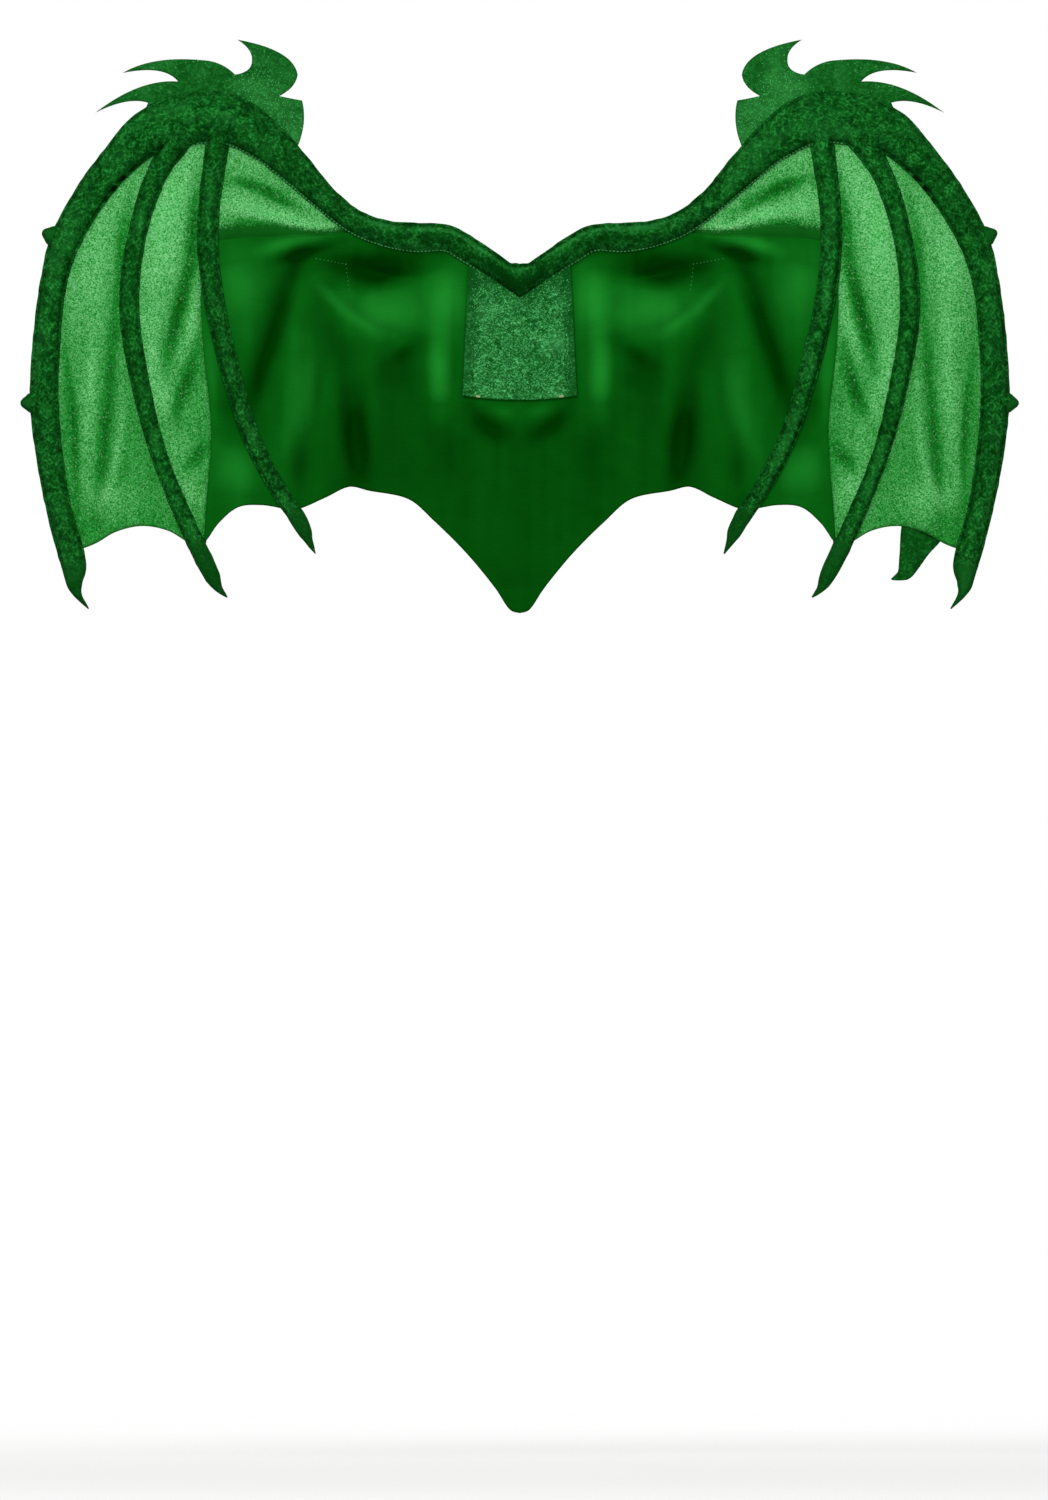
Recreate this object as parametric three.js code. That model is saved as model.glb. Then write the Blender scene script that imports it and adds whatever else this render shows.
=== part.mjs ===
import * as THREE from 'three';
import { mergeVertices } from 'three/addons/utils/BufferGeometryUtils.js';
import { TessellateModifier } from 'three/addons/modifiers/TessellateModifier.js';

// Dragon wings that fasten on the back: padded velvet ribs on a cloth of satin and shimmer knit.
// Seen from behind the wearer, +X is to the right, +Z is up and -Y points at the viewer.
// The origin is the middle of the fastening patch, on the face that lies against the back.

// Driving dimensions, in millimetres
const HALF_SPAN = 441;       // middle of the back to the outer side of the outer rib
const WING_HEIGHT = 470;     // top of the padded arch to the tip of the tail
const SWEEP_DEPTH = 90;      // how far the wrist of a wing stands back from the wearer
const RIB_WIDTH = 25;        // a padded rib, from stitched edge to stitched edge
const RIB_RISE = 11;         // how far the stuffing domes out of the cloth
const CLOTH = 1.5;           // one wall of satin or shimmer knit
const FOLD_WIDTH = 12;       // half the width of a usual fold
const FOLD_DEPTH = 8;        // crest to flat cloth of a deep fold
const CREST_FELT = 3;        // the flame-shaped crest and the loose claw
const SPUR_REACH = 8;        // how far a spur stands out of the outer rib
const SPUR_BASE = 18;        // a spur's length along the rib
const PANEL_TOP = 92;        // width of the back panel under the arms
const PANEL_FOOT = 103.5;    // its width along the bottom
const PANEL_DROP = 67;       // its bottom edge below the origin
const PANEL_BOW = 4;         // how much lower the middle of that edge hangs than its corners
const PANEL_CLOTH = 2;       // crushed velvet with a turned edge
const PATCH_WIDTH = 80;      // the hook patch that holds the wings on the wearer
const PATCH_HEIGHT = 76;
const PATCH_DEPTH = 4;
const PATCH_CORNER = 8;
const SEAT_GAP = 0.5;        // between pieces that lie on each other
const SEAM_GAP = 0.9;        // between cloths that meet under a rib
const ROOT_GAP = 1;          // between the arm's faceted edge and a finger's root

// Shares of the half span where the sweep starts and ends, and how much the tips curl forward
const FLAT_BACK_SHARE = 0.13;
const WRIST_SHARE = 0.78;
const TIP_CURL_SHARE = 0.32;
// The cloth reaches this share of the arm's half width past its middle, and the crest starts here
const CLOTH_REACH_SHARE = 0.7;
const CREST_START_SHARE = 0.78;

// A rib's cross-section: across as a share of its half width, proud as a share of its rise
const RIB_SECTION = [
  { across: 1.00, proud: 0.00 },
  { across: 0.90, proud: 0.50 },
  { across: 0.50, proud: 0.93 },
  { across: -0.50, proud: 0.93 },
  { across: -0.90, proud: 0.50 },
  { across: -1.00, proud: 0.00 },
  { across: 0.00, proud: 0.00 },
];

// Ribs, from root to claw tip: out is a share of HALF_SPAN, up of WING_HEIGHT, wide of RIB_WIDTH
const ARM = [
  { out: 0.000, up: 0.085, wide: 1.15, mark: 'centre' },
  { out: 0.050, up: 0.112, wide: 0.94 },
  { out: 0.103, up: 0.144, wide: 0.97 },
  { out: 0.148, up: 0.167, wide: 0.97 },
  { out: 0.214, up: 0.169, wide: 1.08 },
  { out: 0.273, up: 0.176, wide: 0.97, mark: 'gusset end' },
  { out: 0.336, up: 0.198, wide: 0.90 },
  { out: 0.397, up: 0.242, wide: 0.94 },
  { out: 0.448, up: 0.290, wide: 1.19 },
  { out: 0.476, up: 0.316, wide: 1.31, mark: 'crest inner end' },
  { out: 0.503, up: 0.340, wide: 1.44 },
  { out: 0.569, up: 0.383, wide: 1.76 },
  { out: 0.610, up: 0.395, wide: 1.84, mark: 'inner finger' },
  { out: 0.693, up: 0.389, wide: 1.87 },
  { out: 0.726, up: 0.379, wide: 1.77, mark: 'middle finger' },
  { out: 0.761, up: 0.363, wide: 1.62, mark: 'crest outer end' },
  { out: 0.819, up: 0.311, wide: 1.30 },
  { out: 0.873, up: 0.247, wide: 1.19, mark: 'shoulder' },
  { out: 0.926, up: 0.159, wide: 1.12, mark: 'upper spur' },
  { out: 0.950, up: 0.080, wide: 0.97 },
  { out: 0.964, up: -0.029, wide: 1.01 },
  { out: 0.969, up: -0.149, wide: 1.04, mark: 'lower spur' },
  { out: 0.954, up: -0.278, wide: 0.97 },
  { out: 0.934, up: -0.373, wide: 0.92 },
  { out: 0.916, up: -0.431, wide: 0.97, mark: 'hem' },
  { out: 0.908, up: -0.463, wide: 0.90 },
  { out: 0.907, up: -0.496, wide: 0.58 },
  { out: 0.900, up: -0.517, wide: 0.31 },
  { out: 0.878, up: -0.544, wide: 0.05 },
];
const MIDDLE_FINGER = [
  { out: 0.708, up: 0.331, wide: 1.04 },
  { out: 0.732, up: 0.299, wide: 0.79 },
  { out: 0.756, up: 0.247, wide: 0.74 },
  { out: 0.776, up: 0.182, wide: 0.67 },
  { out: 0.792, up: 0.096, wide: 0.70 },
  { out: 0.794, up: 0.010, wide: 0.72 },
  { out: 0.773, up: -0.111, wide: 0.67 },
  { out: 0.737, up: -0.243, wide: 0.60 },
  { out: 0.677, up: -0.383, wide: 0.63 },
  { out: 0.630, up: -0.475, wide: 0.61 },
  { out: 0.614, up: -0.504, wide: 0.32 },
  { out: 0.596, up: -0.522, wide: 0.05 },
];
const INNER_FINGER = [
  { out: 0.610, up: 0.339, wide: 0.90 },
  { out: 0.622, up: 0.304, wide: 0.83 },
  { out: 0.632, up: 0.230, wide: 0.77 },
  { out: 0.635, up: 0.147, wide: 0.77 },
  { out: 0.620, up: 0.034, wide: 0.73 },
  { out: 0.590, up: -0.086, wide: 0.72 },
  { out: 0.544, up: -0.222, wide: 0.64 },
  { out: 0.483, up: -0.329, wide: 0.60 },
  { out: 0.457, up: -0.364, wide: 0.61 },
  { out: 0.440, up: -0.393, wide: 0.54 },
  { out: 0.430, up: -0.414, wide: 0.31 },
  { out: 0.417, up: -0.438, wide: 0.05 },
];
// A spur: along as a share of its reach, wide of its base
const SPUR = [
  { along: 0.00, wide: 1.00 },
  { along: 0.45, wide: 0.66 },
  { along: 0.85, wide: 0.36 },
  { along: 1.00, wide: 0.12 },
];

// Edges of the cloths, in shares of HALF_SPAN and WING_HEIGHT
const HEM = [
  { out: 0.000, up: -0.551 },
  { out: 0.018, up: -0.546 },
  { out: 0.051, up: -0.502 },
  { out: 0.106, up: -0.439 },
  { out: 0.174, up: -0.375 },
  { out: 0.226, up: -0.333 },
  { out: 0.306, up: -0.317 },
  { out: 0.347, up: -0.309 },
  { out: 0.397, up: -0.330 },
  { out: 0.448, up: -0.351 },
  { out: 0.469, up: -0.353 },
  { out: 0.526, up: -0.345 },
  { out: 0.574, up: -0.349 },
  { out: 0.614, up: -0.380 },
  { out: 0.644, up: -0.418 },
  { out: 0.661, up: -0.423 },
  { out: 0.716, up: -0.395 },
  { out: 0.769, up: -0.386 },
  { out: 0.822, up: -0.397 },
  { out: 0.866, up: -0.420 },
  { out: 0.916, up: -0.437 },
];
const SATIN_SIDE = [
  { out: 0.635, up: 0.157 },
  { out: 0.649, up: 0.067 },
  { out: 0.645, up: -0.048 },
  { out: 0.629, up: -0.201 },
  { out: 0.639, up: -0.345 },
  { out: 0.644, up: -0.418 },
];
const SATIN_TOP = [
  { out: 0.230, up: 0.187 },
  { out: 0.273, up: 0.188 },
  { out: 0.306, up: 0.187 },
  { out: 0.342, up: 0.181 },
  { out: 0.377, up: 0.174 },
  { out: 0.448, up: 0.170 },
  { out: 0.571, up: 0.167 },
  { out: 0.635, up: 0.157 },
];

// The crest's edge as curves that bend by way of one point each, starting at its inner end
const FLAMES = [
  { viaOut: 0.432, viaUp: 0.385, out: 0.444, up: 0.430 },
  { viaOut: 0.465, viaUp: 0.433, out: 0.490, up: 0.438 },
  { viaOut: 0.457, viaUp: 0.454, out: 0.453, up: 0.479 },
  { viaOut: 0.461, viaUp: 0.527, out: 0.576, up: 0.545 },
  { viaOut: 0.544, viaUp: 0.527, out: 0.546, up: 0.505 },
  { viaOut: 0.546, viaUp: 0.483, out: 0.580, up: 0.478 },
  { viaOut: 0.608, viaUp: 0.504, out: 0.647, up: 0.505 },
  { viaOut: 0.750, viaUp: 0.513, out: 0.809, up: 0.480 },
  { viaOut: 0.724, viaUp: 0.496, out: 0.696, up: 0.464 },
  { viaOut: 0.775, viaUp: 0.469, out: 0.865, up: 0.404 },
  { viaOut: 0.799, viaUp: 0.435, out: 0.757, up: 0.423 },
];
// A loose claw that hangs behind the hem of the right wing
const LOOSE_CLAW = [
  { out: 0.784, up: -0.370 },
  { out: 0.864, up: -0.398 },
  { out: 0.858, up: -0.414 },
  { out: 0.834, up: -0.439 },
  { out: 0.800, up: -0.482 },
  { out: 0.788, up: -0.489 },
  { out: 0.756, up: -0.488 },
  { out: 0.770, up: -0.473 },
  { out: 0.773, up: -0.445 },
];

// Folds of the cloth, each a bent line: wide is a share of FOLD_WIDTH and rise of FOLD_DEPTH,
// and a rise below nought is a valley
const FOLDS = [
  { name: 'valley under the arm', fromOut: 0.365, fromUp: 0.165, viaOut: 0.497, viaUp: 0.121,
    toOut: 0.534, toUp: -0.128, wide: 1.0, rise: -0.9 },
  { name: 'first ridge', fromOut: 0.412, fromUp: 0.094, viaOut: 0.469, viaUp: 0.010,
    toOut: 0.481, toUp: -0.278, wide: 1.05, rise: 0.6 },
  { name: 'second valley', fromOut: 0.387, fromUp: 0.067, viaOut: 0.357, viaUp: -0.048,
    toOut: 0.454, toUp: -0.306, wide: 0.9, rise: -0.75 },
  { name: 'second ridge', fromOut: 0.357, fromUp: 0.048, viaOut: 0.342, viaUp: -0.067,
    toOut: 0.387, toUp: -0.310, wide: 0.9, rise: 0.6 },
  { name: 'third valley', fromOut: 0.365, fromUp: -0.010, viaOut: 0.346, viaUp: -0.144,
    toOut: 0.330, toUp: -0.304, wide: 0.9, rise: -1.1 },
  { name: 'third ridge', fromOut: 0.301, fromUp: 0.048, viaOut: 0.285, viaUp: -0.144,
    toOut: 0.293, toUp: -0.326, wide: 1.2, rise: 0.75 },
  { name: 'crease from the stitching', fromOut: 0.418, fromUp: 0.090, viaOut: 0.346, viaUp: -0.010,
    toOut: 0.214, toUp: -0.027, wide: 0.7, rise: -0.7 },
  { name: 'pocket under the arm', fromOut: 0.357, fromUp: 0.120, viaOut: 0.265, viaUp: 0.085,
    toOut: 0.171, toUp: 0.110, wide: 0.85, rise: -1.0 },
  { name: 'column beside the panel', fromOut: 0.165, fromUp: 0.090, viaOut: 0.160, viaUp: -0.029,
    toOut: 0.171, toUp: -0.182, wide: 1.3, rise: 0.9 },
  { name: 'hollow beside the column', fromOut: 0.275, fromUp: -0.048, viaOut: 0.244, viaUp: -0.144,
    toOut: 0.203, toUp: -0.239, wide: 1.6, rise: -0.75 },
  { name: 'crease below the panel', fromOut: 0.101, fromUp: -0.165, viaOut: 0.040, viaUp: -0.195,
    toOut: 0.000, toUp: -0.230, wide: 1.0, rise: -0.35 },
  { name: 'round of the tail', fromOut: 0.000, fromUp: -0.260, viaOut: 0.000, viaUp: -0.373,
    toOut: 0.000, toUp: -0.527, wide: 3.4, rise: 0.7 },
  { name: 'outer web', fromOut: 0.840, fromUp: 0.069, viaOut: 0.830, viaUp: -0.124,
    toOut: 0.880, toUp: -0.387, wide: 0.8, rise: -0.55 },
  { name: 'outer web at the hem', fromOut: 0.812, fromUp: -0.201, viaOut: 0.830, viaUp: -0.300,
    toOut: 0.840, toUp: -0.380, wide: 0.8, rise: 0.45 },
  { name: 'middle web', fromOut: 0.671, fromUp: 0.142, viaOut: 0.710, viaUp: -0.010,
    toOut: 0.726, toUp: -0.086, wide: 0.7, rise: -0.4 },
  { name: 'middle web, lower', fromOut: 0.648, fromUp: -0.115, viaOut: 0.673, viaUp: -0.153,
    toOut: 0.701, toUp: -0.201, wide: 0.6, rise: -0.4 },
  { name: 'gusset', fromOut: 0.560, fromUp: 0.200, viaOut: 0.500, viaUp: 0.235,
    toOut: 0.440, toUp: 0.210, wide: 0.9, rise: -0.5 },
];

// Number of facets
const STEPS_PER_ROW = 2;
const QUIET_STEPS = 8;
const CHORD_STEP = 0.001;
const FOLD_SAMPLES = 10;
const FLAME_SAMPLES = 5;
const LINE_SAMPLES = 60;
const DRAPE_COLUMNS = 42;
const DRAPE_ROWS = 17;
const WEB_ROWS = 20;
const OUTER_WEB_COLUMNS = 12;
const MIDDLE_WEB_COLUMNS = 7;
const GUSSET_COLUMNS = 10;
const GUSSET_ROWS = 7;
const PANEL_COLUMNS = 10;
const PANEL_ROWS = 8;
const BENT_EDGE = 26;        // longest edge of a flat piece that is bent to the cloth, in millimetres

const { lerp, smoothstep } = THREE.MathUtils;
const velvet = new THREE.MeshStandardMaterial({ name: 'velvet', color: 0x0b5a1c, roughness: 0.85 });
const satin = new THREE.MeshStandardMaterial({ name: 'satin', color: 0x0a7a1e, roughness: 0.45 });
const shimmer = new THREE.MeshStandardMaterial({ name: 'shimmer', color: 0x2f9e45, roughness: 0.6 });
const glitter = new THREE.MeshStandardMaterial({ name: 'glitter', color: 0x0e7a2b, roughness: 0.6 });
const hookTape = new THREE.MeshStandardMaterial({ name: 'hook_tape', color: 0x0c0d0c, roughness: 0.95 });

const place = (row) => ({ x: row.out * HALF_SPAN, z: row.up * WING_HEIGHT });

// A smooth line through table rows, as points that run on evenly
function smoothLine(rows) {
  const curve = new THREE.CatmullRomCurve3(rows.map((row) => {
    const { x, z } = place(row);
    return new THREE.Vector3(x, 0, z);
  }));
  return curve.getPoints(rows.length * STEPS_PER_ROW).map(({ x, z }) => ({ x, z }));
}

// Reads a line of points as a function of one of its coordinates
function readLine(points, by, get) {
  const sorted = [...points].sort((a, b) => a[by] - b[by]);
  return (value) => {
    let next = sorted.findIndex((point) => point[by] >= value);
    if (next < 0) next = sorted.length - 1;
    next = Math.max(next, 1);
    const [low, high] = [sorted[next - 1], sorted[next]];
    const share = THREE.MathUtils.clamp((value - low[by]) / (high[by] - low[by] || 1), 0, 1);
    return lerp(low[get], high[get], share);
  };
}

// A rib's middle line: the curve's second coordinate carries its width
function ribCurve(rows, root) {
  const points = rows.map((row) => {
    const { x, z } = place(row);
    return new THREE.Vector3(x, row.wide * RIB_WIDTH, z);
  });
  if (root) points[0].set(root.x, points[0].y, root.z);
  return new THREE.CatmullRomCurve3(points);
}

function stationOn(curve, t) {
  const point = curve.getPoint(t);
  const direction = curve.getTangent(t);
  const length = Math.hypot(direction.x, direction.z);
  const along = { x: direction.x / length, z: direction.z / length };
  return { x: point.x, z: point.z, half: point.y / 2, along, across: { x: -along.z, z: along.x } };
}

function ribStations(curve, rowCount, stepsPerRow = STEPS_PER_ROW) {
  const steps = (rowCount - 1) * stepsPerRow;
  return Array.from({ length: steps + 1 }, (_, step) => stationOn(curve, step / steps));
}

// A point beside a station: side is a share of the half width, beyond is in millimetres past it
function beside(station, side, beyond = 0) {
  const reach = station.half * side + beyond * Math.sign(side);
  return { x: station.x + station.across.x * reach, z: station.z + station.across.z * reach };
}

// The arm runs from the middle of the back, over the wrist and down the outer edge to its claw
const armCurve = ribCurve(ARM);
const armMark = (mark) => ARM.findIndex((row) => row.mark === mark) / (ARM.length - 1);
const armStation = (mark) => stationOn(armCurve, armMark(mark));
const armStations = ribStations(armCurve, ARM.length);
// Both arms end in one upright mitre at the middle
armStations[0] = { ...armStations[0], x: SEAM_GAP / 2, across: { x: 0, z: 1 } };

// A finger starts at the arm's lower edge, with its first section laid along a chord of that edge
function fingerStations(rows, mark) {
  const t = armMark(mark);
  const edge = (share) => beside(stationOn(armCurve, share), -1);
  const chord = (reach) => [edge(t - reach), edge(t + reach)];
  const long = ([a, b]) => Math.hypot(b.x - a.x, b.z - a.z);
  let reach = CHORD_STEP;
  while (long(chord(reach)) < rows[0].wide * RIB_WIDTH) reach += CHORD_STEP;
  const [a, b] = chord(reach);
  const across = { x: (b.x - a.x) / long([a, b]), z: (b.z - a.z) / long([a, b]) };
  const root = { x: (a.x + b.x) / 2 + across.z * ROOT_GAP, z: (a.z + b.z) / 2 - across.x * ROOT_GAP };
  const stations = ribStations(ribCurve(rows, root), rows.length);
  stations[0] = { ...stations[0], across };
  const turned = { x: across.x + stations[1].across.x, z: across.z + stations[1].across.z };
  const size = Math.hypot(turned.x, turned.z);
  stations[1] = { ...stations[1], across: { x: turned.x / size, z: turned.z / size } };
  return stations;
}
const middleStations = fingerStations(MIDDLE_FINGER, 'middle finger');
const innerStations = fingerStations(INNER_FINGER, 'inner finger');

// A spur stands on the arm's outer edge
function spurStations(mark) {
  const seat = armStation(mark);
  return SPUR.map((row) => ({
    ...beside(seat, 1, SEAT_GAP + row.along * SPUR_REACH),
    half: row.wide * SPUR_BASE / 2,
    across: seat.along,
  }));
}

// The shape of the cloth, as the depth of its middle surface behind the wearer's back
const PANEL_HALF = PANEL_FOOT / 2;
const CLOTH_SEAT = PATCH_DEPTH + SEAT_GAP + CLOTH / 2;
const foldLines = FOLDS.map((fold) => {
  const curve = new THREE.QuadraticBezierCurve(
    new THREE.Vector2(fold.fromOut * HALF_SPAN, fold.fromUp * WING_HEIGHT),
    new THREE.Vector2(fold.viaOut * HALF_SPAN, fold.viaUp * WING_HEIGHT),
    new THREE.Vector2(fold.toOut * HALF_SPAN, fold.toUp * WING_HEIGHT),
  );
  const points = curve.getPoints(FOLD_SAMPLES);
  return { points, wide: fold.wide * FOLD_WIDTH, rise: fold.rise * FOLD_DEPTH };
});
const quietRibs = [ARM, MIDDLE_FINGER, INNER_FINGER]
  .flatMap((rows) => ribStations(ribCurve(rows), rows.length, QUIET_STEPS));

function nearestOnFold(points, x, z) {
  let best = { distance: Infinity, share: 0 };
  points.slice(1).forEach((end, index) => {
    const start = points[index];
    const [dx, dz] = [end.x - start.x, end.y - start.y];
    const along = ((x - start.x) * dx + (z - start.y) * dz) / (dx * dx + dz * dz);
    const share = THREE.MathUtils.clamp(along, 0, 1);
    const distance = Math.hypot(start.x + share * dx - x, start.y + share * dz - z);
    if (distance < best.distance) best = { distance, share: (index + share) / FOLD_SAMPLES };
  });
  return best;
}

// Folds die out where a rib or the panel holds the cloth flat
function calm(x, z) {
  const ribs = quietRibs.map((rib) => Math.hypot(rib.x - x, rib.z - z) / rib.half);
  const beyondPanel = Math.max(x - PANEL_HALF, -PANEL_DROP - z);
  return smoothstep(Math.min(...ribs), 1.7, 3.2) * smoothstep(beyondPanel, SEAM_GAP, FOLD_WIDTH);
}

function foldHeight(x, z) {
  const raised = foldLines.reduce((sum, fold) => {
    const { distance, share } = nearestOnFold(fold.points, x, z);
    const ends = 0.25 + 0.75 * Math.sin(Math.PI * THREE.MathUtils.clamp(share, 0.08, 0.92));
    return sum + fold.rise * ends * Math.exp(-((distance / fold.wide) ** 2));
  }, 0);
  return raised === 0 ? 0 : raised * calm(x, z);
}

function clothDepth(signedX, z, folded = true) {
  const x = Math.abs(signedX);
  const out = x / HALF_SPAN;
  const curl = 1 - TIP_CURL_SHARE * smoothstep(out, WRIST_SHARE, 1.1);
  const swept = SWEEP_DEPTH * smoothstep(out, FLAT_BACK_SHARE, WRIST_SHARE) * curl;
  return -(CLOTH_SEAT + swept + (folded ? foldHeight(x, z) : 0));
}

// Meshes
function outward(geometry) {
  const position = geometry.attributes.position;
  const index = geometry.index.array;
  const [a, b, c] = [new THREE.Vector3(), new THREE.Vector3(), new THREE.Vector3()];
  let volume = 0;
  for (let i = 0; i < index.length; i += 3) {
    a.fromBufferAttribute(position, index[i]);
    b.fromBufferAttribute(position, index[i + 1]);
    c.fromBufferAttribute(position, index[i + 2]);
    volume += a.dot(b.cross(c));
  }
  if (volume < 0) index.reverse();
  return geometry;
}

function solidFrom(vertices, triangles) {
  const geometry = new THREE.BufferGeometry();
  geometry.setAttribute('position', new THREE.Float32BufferAttribute(vertices.flat(), 3));
  geometry.setIndex(triangles.flat());
  outward(geometry);
  geometry.computeVertexNormals();
  return geometry;
}

// A padded rib lies on the viewer's side of the cloth, flat at the back and domed in front
function ribSolid(stations, rise = RIB_RISE) {
  const sides = RIB_SECTION.length;
  const vertices = [];
  const triangles = [];
  stations.forEach((station) => {
    const proud = rise * Math.sqrt(Math.min(station.half / (RIB_WIDTH / 2), 1.6));
    RIB_SECTION.forEach((corner) => {
      const { x, z } = beside(station, corner.across || 1e-9);
      const seat = clothDepth(x, z, false) - CLOTH / 2 - SEAT_GAP;
      vertices.push([x, seat - proud * corner.proud, z]);
    });
  });
  for (let ring = 0; ring + 1 < stations.length; ring += 1) {
    for (let side = 0; side < sides; side += 1) {
      const [a, b] = [ring * sides + side, ring * sides + (side + 1) % sides];
      triangles.push([a, b, a + sides], [b, b + sides, a + sides]);
    }
  }
  const last = (stations.length - 1) * sides;
  for (let side = 1; side + 1 < sides; side += 1) {
    triangles.push([0, side + 1, side], [last, last + side, last + side + 1]);
  }
  return solidFrom(vertices, triangles);
}

// A sheet of cloth over a patch of the picture plane, as a closed wall
function sheetSolid(patch, columns, rows, thickness = CLOTH, behind = 0) {
  const vertices = [];
  const triangles = [];
  const across = columns + 1;
  for (const face of [-1, 1]) {
    for (let row = 0; row <= rows; row += 1) {
      for (let column = 0; column <= columns; column += 1) {
        const { x, z } = patch(column / columns, row / rows);
        vertices.push([x, clothDepth(x, z) + behind + face * thickness / 2, z]);
      }
    }
  }
  const back = across * (rows + 1);
  for (let row = 0; row < rows; row += 1) {
    for (let column = 0; column < columns; column += 1) {
      const a = row * across + column;
      triangles.push([a, a + 1, a + across], [a + 1, a + across + 1, a + across]);
      triangles.push([back + a, back + a + across, back + a + 1]);
      triangles.push([back + a + 1, back + a + across, back + a + across + 1]);
    }
  }
  const rim = [];
  for (let column = 0; column < columns; column += 1) rim.push(column);
  for (let row = 0; row < rows; row += 1) rim.push(row * across + columns);
  for (let column = columns; column > 0; column -= 1) rim.push(rows * across + column);
  for (let row = rows; row > 0; row -= 1) rim.push(row * across);
  rim.forEach((a, index) => {
    const b = rim[(index + 1) % rim.length];
    triangles.push([a, back + a, b], [b, back + a, back + b]);
  });
  return solidFrom(vertices, triangles);
}

// A patch between four edges, each a function of a share from 0 to 1
function patchBetween({ bottom, top, inner, outer }) {
  return (u, v) => {
    const [low, high, left, right] = [bottom(u), top(u), inner(v), outer(v)];
    const corners = [bottom(0), bottom(1), top(0), top(1)];
    const blend = (axis) => lerp(low[axis], high[axis], v) + lerp(left[axis], right[axis], u)
      - lerp(lerp(corners[0][axis], corners[1][axis], u), lerp(corners[2][axis], corners[3][axis], u), v);
    return { x: blend('x'), z: blend('z') };
  };
}

// A flat piece cut to an outline and bent to the cloth, its viewer's face at the given depth behind it
function bentPlate(outline, thickness, behind) {
  const flat = new THREE.ExtrudeGeometry(new THREE.Shape(outline), { depth: thickness, bevelEnabled: false });
  const fine = new TessellateModifier(BENT_EDGE, 8).modify(flat);
  fine.deleteAttribute('normal');
  fine.deleteAttribute('uv');
  const merged = mergeVertices(fine, 1e-3);
  const position = merged.attributes.position;
  for (let i = 0; i < position.count; i += 1) {
    const [x, z, depth] = [position.getX(i), position.getY(i), position.getZ(i)];
    position.setXYZ(i, x, clothDepth(x, z, behind > 0) + behind + depth, z);
  }
  outward(merged);
  merged.computeVertexNormals();
  return merged;
}

// Lines that the cloths share
const armLine = (t) => beside(stationOn(armCurve, t), CLOTH_REACH_SHARE);
const [gussetT, innerT, middleT] = ['gusset end', 'inner finger', 'middle finger'].map(armMark);
const [shoulderT, hemT] = ['shoulder', 'hem'].map(armMark);
const satinSide = smoothLine(SATIN_SIDE);
const satinTop = smoothLine(SATIN_TOP);
const hemAt = readLine(smoothLine(HEM), 'x', 'z');
const satinTopAt = readLine(satinTop, 'x', 'z');
const satinCorner = place(SATIN_SIDE[0]);
const satinFoot = place(SATIN_SIDE.at(-1));
const middleLine = readLine([armLine(middleT), ...middleStations], 'z', 'x');
const innerUpper = innerStations.filter((station) => station.z > satinCorner.z);
const seamLine = readLine([armLine(innerT), ...innerUpper, ...satinSide], 'z', 'x');

// Where the middle finger crosses the hem
function hemUnder(line) {
  let z = satinFoot.z;
  for (let turn = 0; turn < FOLD_SAMPLES; turn += 1) z = hemAt(line(z));
  return { x: line(z), z };
}
const middleFoot = hemUnder(middleLine);
const shifted = ({ x, z }, dx, dz = 0) => ({ x: x + dx, z: z + dz });

const outerWeb = patchBetween({
  inner: (v) => {
    const z = lerp(middleFoot.z, armLine(middleT).z, v);
    return { x: middleLine(z) + SEAM_GAP / 2, z };
  },
  outer: (v) => armLine(lerp(hemT, shoulderT, v)),
  bottom: (u) => {
    const x = lerp(middleFoot.x + SEAM_GAP / 2, armLine(hemT).x, u);
    return { x, z: lerp(hemAt(x), armLine(hemT).z, u ** 8) };
  },
  top: (u) => shifted(armLine(lerp(middleT, shoulderT, u)), (1 - u) * SEAM_GAP / 2),
});
const middleWeb = patchBetween({
  inner: (v) => {
    const z = lerp(satinFoot.z, armLine(innerT).z, v);
    return { x: seamLine(z) + SEAM_GAP / 2, z };
  },
  outer: (v) => {
    const z = lerp(middleFoot.z, armLine(middleT).z, v);
    return { x: middleLine(z) - SEAM_GAP / 2, z };
  },
  bottom: (u) => {
    const x = lerp(satinFoot.x + SEAM_GAP / 2, middleFoot.x - SEAM_GAP / 2, u);
    return { x, z: hemAt(x) };
  },
  top: (u) => shifted(armLine(lerp(innerT, middleT, u)), (0.5 - u) * SEAM_GAP),
});
const gussetFoot = { x: armLine(gussetT).x, z: satinTopAt(armLine(gussetT).x) + SEAM_GAP / 2 };
const gusset = patchBetween({
  inner: (v) => ({ x: gussetFoot.x, z: lerp(gussetFoot.z, armLine(gussetT).z, v) }),
  outer: (v) => {
    const z = lerp(satinCorner.z + SEAM_GAP / 2, armLine(innerT).z, v);
    return { x: seamLine(z) - SEAM_GAP / 2, z };
  },
  bottom: (u) => {
    const x = lerp(gussetFoot.x, satinCorner.x - SEAM_GAP / 2, u);
    return { x, z: satinTopAt(x) + SEAM_GAP / 2 };
  },
  top: (u) => shifted(armLine(lerp(gussetT, innerT, u)), -u * SEAM_GAP / 2),
});

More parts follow.
